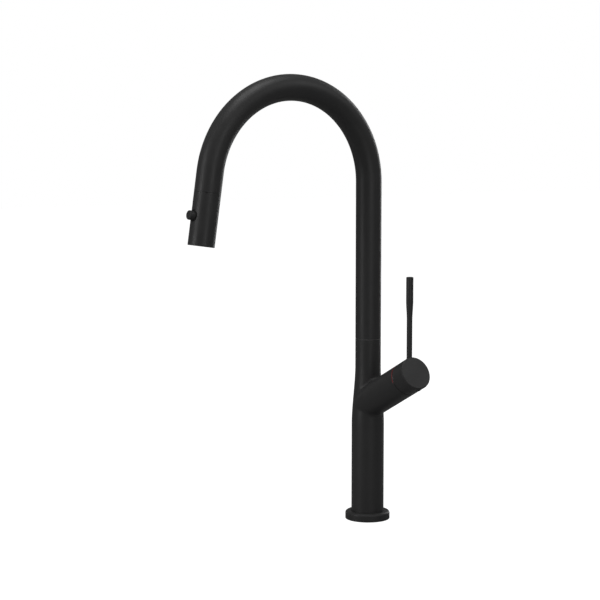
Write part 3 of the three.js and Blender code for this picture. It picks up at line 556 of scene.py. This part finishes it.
def make_flange():
    inner = COLUMN_R + 0.15 * MM
    profile = [(15.5 * MM, 0), (19.4 * MM, 0), (19.4 * MM, 1.8 * MM), (21.4 * MM, 1.8 * MM), (21.4 * MM, 0)]
    profile += arc((FLANGE_R - 0.6 * MM, 0.6 * MM), 0.6 * MM, -90, 0, 4)
    profile += arc((FLANGE_R - CROWN, FLANGE_H - CROWN), CROWN, 0, 90, 12)
    profile += [(inner, FLANGE_H), (inner, 2.2 * MM), (15.5 * MM, 2.2 * MM), (15.5 * MM, 0)]
    return make_piece(spun(profile, 128), "foot_flange", POWDER, "body", ["base_flange"])


foot_flange = make_flange()

# %% [markdown]
# ## Gooseneck
# The spout is one length of tube bent on a mandrel: a straight rise, a wide bend of a little less than half
# a turn, and a short straight end. Two circles, the outside and the bore, are extruded straight up, spun
# about the bend's centre and extruded again, then bridged at both rims so that the tube has a real wall. A
# thin, paler slip ring shows in the joint below the tube.

# %% Gooseneck
BORE_R = TUBE_R - 1.2 * MM


def newest(made, kind):
    """The vertices or the edges among what an operator made."""
    return [g for g in made if isinstance(g, kind)]


def pushed(bm, edges, offset):
    """Extrudes edges and moves the new ones by an offset."""
    made = bmesh.ops.extrude_edge_only(bm, edges=edges)["geom"]
    bmesh.ops.translate(bm, verts=newest(made, bmesh.types.BMVert), vec=offset)
    return [e for e in newest(made, bmesh.types.BMEdge) if e.is_boundary]


def bent_tube(radii, foot, rise_to, bend_r, angle, tail, around=96, along=120):
    """Concentric tubes up, round a bend and down, open at both ends."""
    bm = bmesh.new()
    for r in radii:
        bmesh.ops.create_circle(bm, segments=around, radius=r, matrix=Matrix.Translation((0, 0, foot)))
    edges = pushed(bm, bm.edges[:], Vector((0, 0, rise_to - foot)))
    ring = list({v for e in edges for v in e.verts})
    turned_end = bmesh.ops.spin(
        bm,
        geom=ring + edges,
        cent=(0, -bend_r, rise_to),
        axis=(1, 0, 0),
        angle=angle,
        steps=along,
    )["geom_last"]
    return bm, pushed(bm, newest(turned_end, bmesh.types.BMEdge), pull_axis * tail)


def make_gooseneck():
    bm, _ = bent_tube([TUBE_R, BORE_R], TUBE_FOOT, SPRING_Z, ARC_R, sweep, TAIL - SEAM_GAP)
    open_edges = [e for e in bm.edges if e.is_boundary]
    foot_edges = [e for e in open_edges if (e.verts[0].co - Vector((0, 0, TUBE_FOOT))).length < 2 * TUBE_R]
    mouth_edges = [e for e in open_edges if e not in set(foot_edges)]
    bmesh.ops.bridge_loops(bm, edges=foot_edges)
    bmesh.ops.bridge_loops(bm, edges=mouth_edges)
    bmesh.ops.recalc_face_normals(bm, faces=bm.faces)
    soften(bm, 0.12 * MM)
    return make_piece(bm, "gooseneck_spout", POWDER, "spout", ["spout_tube"])


def make_slip_ring():
    low, high = NECK_TOP + 0.04 * MM, TUBE_FOOT - 0.04 * MM
    inner, outer = 11.6 * MM, TUBE_R - 0.4 * MM
    profile = [(inner, low), (outer, low), (outer, high), (inner, high), (inner, low)]
    return make_piece(spun(profile), "seam_slip_ring", SEAM_LINE, "body", ["slip_washer"])


gooseneck = make_gooseneck()
seam_slip_ring = make_slip_ring()

# %% [markdown]
# ## Handle cap and lever
# The cap closes the valve housing and carries the lever. Inside it is hollow, a part of a ball, so that it
# can tip over the fixed dome without opening a gap. The lever is a thin rod that swells to a grip, with the
# fine line of a joint where the grip begins. A small plug hides the set screw on the side away from the
# lever. The cap's holes are cut with exact booleans, as a drill would: each cutter is a round bar.

# %% Drilling
def carved(bm, *cutters):
    """A bmesh with each cutter bmesh taken away from it by an exact boolean."""
    holder = bpy.data.objects.new("carving", bpy.data.meshes.new("carving"))
    bm.to_mesh(holder.data)
    bm.free()
    bpy.context.scene.collection.objects.link(holder)
    tools = []
    for cutter in cutters:
        tool = bpy.data.objects.new("cutter", bpy.data.meshes.new("cutter"))
        cutter.to_mesh(tool.data)
        cutter.free()
        bpy.context.scene.collection.objects.link(tool)
        cut = holder.modifiers.new("cut", "BOOLEAN")
        cut.object, cut.operation, cut.solver = tool, "DIFFERENCE", "EXACT"
        tools.append(tool)
    evaluated = holder.evaluated_get(bpy.context.evaluated_depsgraph_get())
    result = bmesh.new()
    result.from_mesh(evaluated.to_mesh())
    for used in (*tools, holder):
        bpy.data.objects.remove(used)
    return result


def round_bar(r, z0, z1, steps=48):
    """A plain round bar, used as a cutter."""
    return spun([(0, z0), (r, z0), (r, z1), (0, z1)], steps)


# %% Handle cap
DOME_R = 20.6 * MM
HOLLOW_R = DOME_R + 0.3 * MM
lever_low, lever_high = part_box("lever")
LEVER_AXIS = Vector(((lever_low.x + lever_high.x) / 2, (lever_low.y + lever_high.y) / 2, 0))
SCREW_S = CAP_END - 4.5 * MM
CAP_ROUND = 1.2 * MM  # rounder than the CAD, so that the edge catches light


def crossing_hole(r, x0, x1):
    """A round cutter through the set screw's place, square to the housing's axis."""
    bar = round_bar(r, x0, x1)
    turn = Matrix.Rotation(math.pi / 2, 4, "Y")
    bmesh.ops.transform(bar, matrix=BRANCH @ Matrix.Translation((0, 0, SCREW_S)) @ turn, verts=bar.verts)
    return bar


def make_cap():
    rim_s = PIVOT_S + math.sqrt(HOLLOW_R**2 - (BRANCH_R - 0.35 * MM) ** 2)
    start = math.degrees(math.asin((rim_s - PIVOT_S) / HOLLOW_R))
    profile = arc((0, PIVOT_S), HOLLOW_R, 90, start, 24)
    profile[0] = (0, PIVOT_S + HOLLOW_R)
    profile += [(BRANCH_R, rim_s + 0.2 * MM)]
    profile += arc((BRANCH_R - CAP_ROUND, CAP_END - CAP_ROUND), CAP_ROUND, 0, 90, 8)
    profile += [(0, CAP_END)]
    bm = spun(profile, 128)
    bmesh.ops.transform(bm, matrix=BRANCH, verts=bm.verts)
    lever_hole = round_bar(3.2 * MM, lever_low.z - 0.3 * MM, lever_low.z + 22 * MM)
    bmesh.ops.translate(lever_hole, verts=lever_hole.verts, vec=LEVER_AXIS)
    bm = carved(bm, lever_hole, crossing_hole(2.45 * MM, 14 * MM, 20 * MM))
    return make_piece(bm, "handle_end_cap", POWDER, "handle", ["handle_cap"])


handle_end_cap = make_cap()

# %% Lever, plug and dome
ROD_R = 3.0 * MM
GRIP_R = (lever_high.x - lever_low.x) / 2
GRIP_FROM = lever_high.z - 24.6 * MM
TAPER_FROM = GRIP_FROM - 21 * MM


def make_lever():
    swell = [(t, ROD_R + (GRIP_R - ROD_R) * float(ease(t))) for t in np.linspace(0, 1, 12)]
    profile = [(0, lever_low.z), (ROD_R, lever_low.z)]
    profile += [(r, TAPER_FROM + (GRIP_FROM - TAPER_FROM) * t) for t, r in swell]
    groove = 0.12 * MM
    profile += [(GRIP_R - groove, GRIP_FROM + groove), (GRIP_R - groove, GRIP_FROM + 2 * groove)]
    profile += [(GRIP_R, GRIP_FROM + 3 * groove)]
    crown = 0.9 * MM
    profile += arc((GRIP_R - crown, lever_high.z - crown), crown, 0, 90, 6)
    profile += [(0, lever_high.z)]
    place = Matrix.Translation(LEVER_AXIS)
    return make_piece(spun(profile, 64), "lever_rod", POWDER, "handle", ["lever"], place)


def make_plug():
    profile = [(0, 14.6 * MM), (2.2 * MM, 14.6 * MM)] + arc((1.7 * MM, 18.3 * MM), 0.5 * MM, 0, 90, 4)
    profile += [(1.2 * MM, 18.8 * MM), (1.0 * MM, 18.4 * MM), (0, 18.4 * MM)]
    place = BRANCH @ Matrix.Translation((0, 0, SCREW_S)) @ Matrix.Rotation(math.pi / 2, 4, "Y")
    return make_piece(spun(profile, 48), "set_screw_plug", TRIM, "handle", ["screw_plug"], place)


def make_dome():
    low = math.degrees(math.asin((BRANCH_END + 0.3 * MM - PIVOT_S) / DOME_R))
    high = math.degrees(math.acos(12.3 * MM / DOME_R))
    under = DOME_R - 1.2 * MM
    low_in = math.degrees(math.acos(13.6 * MM / under))
    high_in = math.degrees(math.acos(12.3 * MM / under))
    profile = [(14.7 * MM, 74 * MM), (14.7 * MM, BRANCH_END + 0.3 * MM)]
    profile += arc((0, PIVOT_S), DOME_R, low, high, 14)
    profile += arc((0, PIVOT_S), under, high_in, low_in, 8)
    profile += [(13.6 * MM, 74 * MM), (14.7 * MM, 74 * MM)]
    return make_piece(spun(profile), "cover_dome", TRIM, "body", ["dome_ring"], BRANCH)


lever_rod = make_lever()
set_screw_plug = make_plug()
cover_dome = make_dome()

# %% [markdown]
# ## Temperature mark
# Two thin enamelled strips are let into the rim of the valve housing, each a little less than a quarter
# turn long: red toward the spout, blue toward the wall. Each is a short stretch of a ring, spun through
# less than a full turn.

# %% Temperature mark
MARK_SWEEP = 82
MARK_FLOOR = 17.3 * MM


def make_mark(name, material, node, turn):
    low, high = BRANCH_END - 0.85 * MM, BRANCH_END - 0.1 * MM
    proud = BRANCH_R + 0.04 * MM
    profile = [(MARK_FLOOR, low), (proud, low), (proud, high), (MARK_FLOOR, high), (MARK_FLOOR, low)]
    bm = spun(profile, 40, math.radians(MARK_SWEEP))
    soften(bm, 0.06 * MM, 2)
    place = BRANCH @ Matrix.Rotation(math.radians(turn), 4, "Z")
    return make_piece(bm, name, material, "body", [node], place)


hot_mark = make_mark("hot_mark", RED, "hot_index", 196)
cold_mark = make_mark("cold_mark", BLUE, "cold_index", 82)

# %% [markdown]
# ## Spray head
# The head is a thin-walled shell of the same diameter as the spout, so that the two read as one tube with a
# fine seam. It is turned, then a round window is cut through its wall for the button, and a shallow notch
# into its upper rim as a pointer. Its open end holds a plate of soft nozzles round an aerator.

# %% Spray shell
HEAD_LENGTH = 55.2 * MM
HEAD_WALL = 1.4 * MM
BUTTON_Z = -25 * MM
WINDOW_R = 6.1 * MM
NOTCH_TURN = math.radians(-35)
ALONG_Y = Matrix.Rotation(-math.pi / 2, 4, "X")
AT_BUTTON = HEAD @ Matrix.Translation((0, 0, BUTTON_Z)) @ ALONG_Y


def make_shell():
    inner = TUBE_R - HEAD_WALL
    end = 0.5 * MM
    profile = [(inner, 0.7 * MM - HEAD_LENGTH), (inner + 0.4 * MM, -HEAD_LENGTH)]
    profile += arc((TUBE_R - end, end - HEAD_LENGTH), end, -90, 0, 5)
    profile += arc((TUBE_R - 0.1 * MM, -0.1 * MM - SEAM_GAP), 0.1 * MM, 0, 90, 3)
    profile += [(11.6 * MM, -SEAM_GAP), (11.6 * MM, -2.3 * MM), (inner, -2.3 * MM)]
    profile += [profile[0]]
    bm = spun(profile, 128)
    window = round_bar(WINDOW_R, -18 * MM, -8 * MM, 64)
    bmesh.ops.transform(window, matrix=Matrix.Translation((0, 0, BUTTON_Z)) @ ALONG_Y, verts=window.verts)
    notch = bmesh.new()
    size = Matrix.Diagonal((1.2 * MM, 2.0 * MM, 1.0 * MM, 1))
    at_notch = Matrix.Rotation(NOTCH_TURN, 4, "Z") @ Matrix.Translation((TUBE_R, 0, -0.5 * MM))
    bmesh.ops.create_cube(notch, size=1, matrix=at_notch @ size)
    bm = carved(bm, window, notch)
    return make_piece(bm, "spray_handset", POWDER, "spray_head", ["spray_shell"], HEAD)


spray_handset = make_shell()

# %% [markdown]
# ## Button
# The button stands out of the shell as a short drum with a rounded edge and a slightly dished face, and a
# sunken collar frames it. Both are turned about an axis that crosses the head. Behind them a small spring
# pushes the button back: one circle of wire, spun three turns while it climbs.

# %% Button and collar
BUTTON_R = 4.9 * MM
BUTTON_FACE = -TUBE_R - 5.6 * MM


def make_button():
    edge = 1.1 * MM
    profile = [(0, BUTTON_FACE + 0.35 * MM), (2.0 * MM, BUTTON_FACE + 0.25 * MM), (3.1 * MM, BUTTON_FACE + 0.03 * MM)]
    profile += arc((BUTTON_R - edge, BUTTON_FACE + edge), edge, -90, 0, 8)
    profile += [(BUTTON_R, -12.9 * MM), (1.9 * MM, -12.9 * MM), (1.9 * MM, -16.3 * MM), (0, -16.3 * MM)]
    return make_piece(spun(profile, 72), "mode_button", POWDER, "button", ["button_cap"], AT_BUTTON)


def make_collar():
    inner, outer = BUTTON_R + 0.2 * MM, 6.0 * MM
    face, back = -13.5 * MM, -12.5 * MM
    profile = [(inner, back), (outer, back), (outer, face + 0.25 * MM), (outer - 0.25 * MM, face)]
    profile += [(inner + 0.4 * MM, face), (inner, face + 0.4 * MM), (inner, back)]
    bm = spun(profile, 72)
    return make_piece(bm, "button_collar", TRIM, "spray_head", ["button_bezel"], AT_BUTTON)


def make_spring():
    """The button's return spring, a coil of wire behind the button."""
    to_button = AT_BUTTON.inverted()
    corners = [to_button @ vert.co for vert in frame["nodes"]["button_spring"].data.vertices]
    front, back = min(c.z for c in corners), max(c.z for c in corners)
    wire, turns, steps = 0.3 * MM, 3, 96
    coil = max(c.x for c in corners) - wire
    bm = bmesh.new()
    upright = Matrix.Translation((coil, 0, front + wire)) @ Matrix.Rotation(math.pi / 2, 4, "X")
    bmesh.ops.create_circle(bm, segments=12, radius=wire, matrix=upright)
    rise = Vector((0, 0, (back - front - 2 * wire) / steps))
    section = bm.verts[:] + bm.edges[:]
    angle = 2 * math.pi * turns
    bmesh.ops.spin(bm, geom=section, cent=(0, 0, 0), axis=(0, 0, 1), dvec=rise, angle=angle, steps=steps)
    bmesh.ops.holes_fill(bm, edges=[e for e in bm.edges if e.is_boundary], sides=0)
    bmesh.ops.recalc_face_normals(bm, faces=bm.faces)
    spring = make_piece(bm, "return_spring", STEEL, "spray_head", ["button_spring"], AT_BUTTON)
    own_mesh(spring)
    return spring


mode_button = make_button()
button_collar = make_collar()
return_spring = make_spring()

# %% [markdown]
# ## Spray face
# Seen from below, the head shows two rings of soft nozzles and, in the middle, the aerator with its fine
# mesh. One nozzle is a small turned cone with a hole, copied round both rings. The aerator's mesh is
# concentric rings joined by spokes.

# %% Nozzles and aerator
PLATE_Z = 0.9 * MM - HEAD_LENGTH
PLATE_BACK = PLATE_Z + 5.1 * MM


def copies_round(make_one, count, radius, phase=0.0):
    """One bmesh holding copies of a small piece set round the local Z axis."""
    bm = bmesh.new()
    for i in range(count):
        one = make_one()
        turn = Matrix.Rotation(2 * math.pi * (i + phase) / count, 4, "Z")
        bmesh.ops.transform(one, matrix=turn @ Matrix.Translation((radius, 0, 0)), verts=one.verts)
        add_to(bm, one)
    return bm


def nozzle():
    tip, root = PLATE_Z - 0.6 * MM, PLATE_Z + 0.3 * MM
    return spun([(0.35 * MM, root), (1.0 * MM, root), (0.7 * MM, tip), (0.35 * MM, tip), (0.35 * MM, root)], 14)


def make_spray_plate():
    profile = [(5.7 * MM, PLATE_BACK), (5.7 * MM, PLATE_Z), (12.3 * MM, PLATE_Z), (12.3 * MM, PLATE_BACK)]
    profile += profile[:1]
    bm = soften(spun(profile), 0.25 * MM)
    return make_piece(bm, "spray_plate_face", TRIM, "spray_head", ["spray_plate"], HEAD)


def make_nozzles():
    outer = copies_round(nozzle, 20, 10.6 * MM)
    add_to(outer, copies_round(nozzle, 13, 7.6 * MM, 0.5))
    return make_piece(outer, "soft_nozzles", RUBBER, "spray_head", (), HEAD)


def make_aerator():
    lip = PLATE_Z - 0.3 * MM
    rim = [(4.3 * MM, PLATE_BACK), (4.3 * MM, lip + 0.4 * MM), (4.6 * MM, lip), (5.2 * MM, lip)]
    rim += [(5.45 * MM, PLATE_Z), (5.45 * MM, PLATE_BACK), (4.3 * MM, PLATE_BACK)]
    ring = spun(rim, 72)
    return make_piece(ring, "aerator_ring", STEEL, "spray_head", ["aerator_housing"], HEAD)


def make_mesh_screen():
    bm = bmesh.new()
    bar = 0.14 * MM
    low, high = PLATE_Z + 1.1 * MM, PLATE_Z + 1.5 * MM
    for r in (0.9, 1.8, 2.7, 3.6):
        thin, wide = (r - 0.1) * MM, (r + 0.1) * MM
        add_to(bm, spun([(thin, low), (wide, low), (wide, high), (thin, high), (thin, low)], 36))
    for i in range(8):
        turn = Matrix.Rotation(math.pi * i / 8, 4, "Z")
        size = Matrix.Diagonal((8.4 * MM, bar, 0.35 * MM, 1))
        bmesh.ops.create_cube(bm, size=1, matrix=turn @ Matrix.Translation((0, 0, (low + high) / 2)) @ size)
    return make_piece(bm, "aerator_screen", STEEL, "spray_head", ["aerator_insert"], HEAD)


spray_plate_face = make_spray_plate()
soft_nozzles = make_nozzles()
aerator_ring = make_aerator()
aerator_screen = make_mesh_screen()

# %% [markdown]
# ## Docking collar and pull-out hose
# When the head is pulled, its docking collar leaves the spout with it. The hose is a braided
# sleeve over rubber. It is a short tube of many rings that lies inside the spout where it rests,
# and its pattern is laid out along the length that it would have when it is out.

# %% Docking collar
def make_docking_collar():
    profile = [(7.3 * MM, -10 * MM), (7.3 * MM, 15 * MM), (8 * MM, 15 * MM), (8 * MM, 13 * MM), (10.8 * MM, 13 * MM)]
    profile += [(10.8 * MM, 15 * MM), (11.3 * MM, 14.4 * MM), (11.3 * MM, -2.6 * MM), (12.3 * MM, -2.6 * MM)]
    profile += [(12.3 * MM, -5 * MM), (10 * MM, -5 * MM), (10 * MM, -14 * MM), (4 * MM, -14 * MM), (4 * MM, -10 * MM)]
    profile += [(7.3 * MM, -10 * MM)]
    bm = soften(spun(profile), 0.2 * MM, 2)
    return make_piece(bm, "docking_collar", PLASTIC_DARK, "spray_head", ["spray_inlet"], HEAD)


def make_collar_magnet():
    profile = [(8.3 * MM, 13.3 * MM), (10.5 * MM, 13.3 * MM), (10.5 * MM, 15 * MM), (8.3 * MM, 15 * MM)]
    bm = soften(spun(profile + profile[:1]), 0.15 * MM, 2)
    return make_piece(bm, "dock_ring_magnet", MAGNET, "spray_head", ["collar_magnet"], HEAD)


def make_hose_nut():
    profile = [(3.2 * MM, -9.5 * MM), (7 * MM, -9.5 * MM), (7 * MM, -7.4 * MM), (5.9 * MM, -7.4 * MM)]
    profile += [(5.9 * MM, -5 * MM), (7 * MM, -5 * MM), (7 * MM, 13 * MM), (3.2 * MM, 13 * MM), (3.2 * MM, -9.5 * MM)]
    bm = soften(spun(profile, 64), 0.15 * MM, 2)
    return make_piece(bm, "hose_swivel_nut", BRASS, "hose_end", ["hose_nut"], HEAD)


docking_collar = make_docking_collar()
dock_ring_magnet = make_collar_magnet()
hose_swivel_nut = make_hose_nut()

# %% [markdown]
# ## Braid
# A braid is two sets of strands wound in opposite directions, each passing over and under the other. On the
# hose's own UV map the two windings are two slanted waves, and the higher one shows. Their height drives a
# bump and paints shade into the gaps between strands and down their flanks, darker than the rubber beneath.

# %% Braided sleeve material
def slanted_wave(tree, u, v, across, along):
    """A rounded wave that winds round the hose: 0 in the gap between strands, 1 on a strand's crown."""
    turn = math_node(tree, "ADD", math_node(tree, "MULTIPLY", u, across), math_node(tree, "MULTIPLY", v, along))
    return math_node(tree, "ABSOLUTE", math_node(tree, "SINE", turn, 0.0), 0.0)


def make_braid():
    material = finish_material("braided_sleeve", [(0.018, 0.018, 0.02), (0.03, 0.03, 0.032)], (0.45, 0.6))
    tree = material.node_tree
    shader = tree.nodes["Principled BSDF"]
    split = tree.nodes.new("ShaderNodeSeparateXYZ")
    tree.links.new(tree.nodes.new("ShaderNodeTexCoord").outputs["UV"], split.inputs[0])
    u, v = split.outputs["X"], split.outputs["Y"]
    strands, pitch = 12 * math.pi, 1100.0
    one = slanted_wave(tree, u, v, strands, pitch)
    other = slanted_wave(tree, u, v, strands, -pitch)
    height = math_node(tree, "MAXIMUM", one, other)
    bump = next(n for n in tree.nodes if n.bl_idname == "ShaderNodeBump")
    bump.inputs["Distance"].default_value = 0.35 * MM
    bump.inputs["Strength"].default_value = 1.0
    tree.links.new(height, bump.inputs["Height"])
    # Painted shade: the gaps between strands and the strands' flanks are painted near black, darker than the rubber
    # beneath.
    gap = step_between(tree, height, 0.55, 0.95)
    tree.links.new(shade(tree, gap, (0.004, 0.004, 0.004), (0.05, 0.05, 0.054)), shader.inputs["Base Color"])
    return material


BRAID = make_braid()

# %% Pull-out hose
HOSE_R = (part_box("hose_in_column")[1].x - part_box("hose_in_column")[0].x) / 2
TRAVEL = joints["spray_pull"]["range_m"][1]
HOSE_FROM, HOSE_TO = 21.3 * MM, 13.3 * MM
HOSE_RINGS = 240


def make_pull_hose():
    """A tube from inside the spout to the swivel nut, cut into rings."""
    bm = bmesh.new()
    start = Matrix.Translation((0, 0, HOSE_FROM))
    bmesh.ops.create_circle(bm, segments=32, radius=HOSE_R, matrix=start)
    edges = bm.edges[:]
    for _ in range(HOSE_RINGS):
        edges = pushed(bm, edges, Vector((0, 0, (HOSE_TO - HOSE_FROM) / HOSE_RINGS)))
    layer = bm.loops.layers.uv.new("along_hose")
    for face in bm.faces:
        angles = [math.atan2(loop.vert.co.y, loop.vert.co.x) / (2 * math.pi) for loop in face.loops]
        wraps = max(angles) - min(angles) > 0.5
        for loop, turn in zip(face.loops, angles):
            share = (HOSE_FROM - loop.vert.co.z) / (HOSE_FROM - HOSE_TO)
            out = float(ease(share)) * TRAVEL + share * (HOSE_FROM - HOSE_TO)
            loop[layer].uv = (turn + 1 if wraps and turn < 0 else turn, out)
    ends = [e for e in bm.edges if e.is_boundary]
    bmesh.ops.holes_fill(bm, edges=ends, sides=0)
    bmesh.ops.recalc_face_normals(bm, faces=bm.faces)
    bmesh.ops.transform(bm, matrix=HEAD, verts=bm.verts)
    mesh = bpy.data.meshes.new("pull_out_hose")
    bm.to_mesh(mesh)
    bm.free()
    mesh.shade_smooth()
    mesh.materials.append(BRAID)
    hose = bpy.data.objects.new("pull_out_hose", mesh)
    bpy.context.scene.collection.objects.link(hose)
    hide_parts("hose_lead")
    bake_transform(hose)
    print("pull_out_hose:", len(mesh.polygons), "faces, stretches", round(TRAVEL / MM), "mm")
    return hose


pull_out_hose = make_pull_hose()

# %% [markdown]
# ## Hidden pieces
# The rest of the faucet works out of sight: the cartridge, the seals, the tails and the fixings under the
# worktop. Their CAD meshes have the right shape already, so they only take the finish of what they are made
# of.

# %% Finishes for CAD nodes
FINISH_OF_SLOT = {
    "black": POWDER,
    "trim": TRIM,
    "brass": BRASS,
    "steel": STEEL,
    "rubber": RUBBER,
    "ceramic": CERAMIC,
    "plastic": PLASTIC,
    "magnet": MAGNET,
    "hose": RUBBER,
    "red": RED,
    "blue": BLUE,
}
slot_of_node = {part["node"]: part["material_slot"] for part in frame["record"]["subparts"]}
for node, cad in frame["nodes"].items():
    finish = FINISH_OF_SLOT[slot_of_node[node]]
    if not cad.material_slots:
        cad.data.materials.append(finish)
    for material_slot in cad.material_slots:
        material_slot.material = finish
print("CAD nodes given a finish:", len(frame["nodes"]))

# %% [markdown]
# ## Studio
# A plain pale floor runs into an even white surround. Matte black shows its shape only by what it reflects,
# so the surround is white where the camera sees it and nearly dark where it lights the faucet, and tall
# soft panels do the drawing: each lays one long soft band down every tube, and the dark between the bands
# makes the tubes look round.

# %% Floor
FLOOR_SIZE = 12.0
PAPER_GLOW = 1.0


def choose_light(tree, lighting, shown, output):
    """Sends one shader to the camera's own rays and another to every ray that lights the scene."""
    seen = tree.nodes.new("ShaderNodeLightPath")
    choose = tree.nodes.new("ShaderNodeMixShader")
    tree.links.new(seen.outputs["Is Camera Ray"], choose.inputs[0])
    tree.links.new(lighting.outputs[0], choose.inputs[1])
    tree.links.new(shown.outputs[0], choose.inputs[2])
    tree.links.new(choose.outputs[0], output.inputs["Surface"])


def make_paper():
    """White paper that is dimmer to the faucet than to the camera, so it does not wash out the black."""
    tones = [(0.3, 0.3, 0.3), (0.27, 0.27, 0.27)]
    paper = finish_material("white_paper", tones, (0.85, 0.95), grain=400.0, depth=0.01)
    tree = paper.node_tree
    tree.nodes["Principled BSDF"].inputs["Specular IOR Level"].default_value = 0.0
    glow = tree.nodes.new("ShaderNodeEmission")
    glow.inputs["Strength"].default_value = PAPER_GLOW
    add = tree.nodes.new("ShaderNodeAddShader")
    choose_light(tree, tree.nodes["Principled BSDF"], add, tree.nodes["Material Output"])
    tree.links.new(tree.nodes["Principled BSDF"].outputs[0], add.inputs[0])
    tree.links.new(glow.outputs[0], add.inputs[1])
    return paper


def make_floor():
    bm = bmesh.new()
    bmesh.ops.create_grid(bm, x_segments=1, y_segments=1, size=FLOOR_SIZE / 2)
    mesh = bpy.data.meshes.new("studio_floor")
    bm.to_mesh(mesh)
    bm.free()
    floor = bpy.data.objects.new("studio_floor", mesh)
    bpy.context.scene.collection.objects.link(floor)
    mesh.materials.append(make_paper())
    return floor


studio_floor = make_floor()

# %% Surround
world = bpy.data.worlds.new("studio_surround")
bpy.context.scene.world = world
world.use_nodes = True
surround = world.node_tree.nodes["Background"]
surround.inputs["Color"].default_value = (1, 1, 1, 1)
surround.inputs["Strength"].default_value = 0.18
backdrop = world.node_tree.nodes.new("ShaderNodeBackground")
backdrop.inputs["Color"].default_value = (1, 1, 1, 1)
backdrop.inputs["Strength"].default_value = 1.0
choose_light(world.node_tree, surround, backdrop, world.node_tree.nodes["World Output"])

# %% Soft panels
MIDDLE = Vector((0, -0.08, 0.25))


def panel(name, azimuth, distance, height, width, tall, watts):
    """A soft panel at an azimuth round the faucet, measured like the camera's, facing its middle."""
    data = bpy.data.lights.new(name, "AREA")
    data.shape = "RECTANGLE"
    data.size, data.size_y = width, tall
    data.energy = watts
    lamp = bpy.data.objects.new(name, data)
    a = math.radians(azimuth)
    lamp.location = (distance * math.sin(a), MIDDLE.y - distance * math.cos(a), height)
    lamp.rotation_mode = "QUATERNION"
    lamp.rotation_quaternion = (MIDDLE - lamp.location).to_track_quat("-Z", "Y")
    lamp.visible_camera = False
    bpy.context.scene.collection.objects.link(lamp)
    return lamp


panel("left_panel", CAMERA_AZIMUTH - 62, 1.6, 0.3, 0.3, 1.8, 10.0)
panel("right_panel", CAMERA_AZIMUTH + 26, 1.6, 0.3, 0.25, 1.8, 5.0)
panel("far_right_panel", CAMERA_AZIMUTH + 145, 1.6, 0.3, 0.4, 1.8, 7.0)
panel("face_panel", CAMERA_AZIMUTH + 78, 1.6, 1.4, 0.9, 0.9, 3.6)
panel("top_panel", CAMERA_AZIMUTH, 0.2, 2.2, 1.2, 1.2, 16.0)
bpy.context.scene.view_settings.view_transform = "Standard"
bpy.context.scene.view_settings.look = "None"
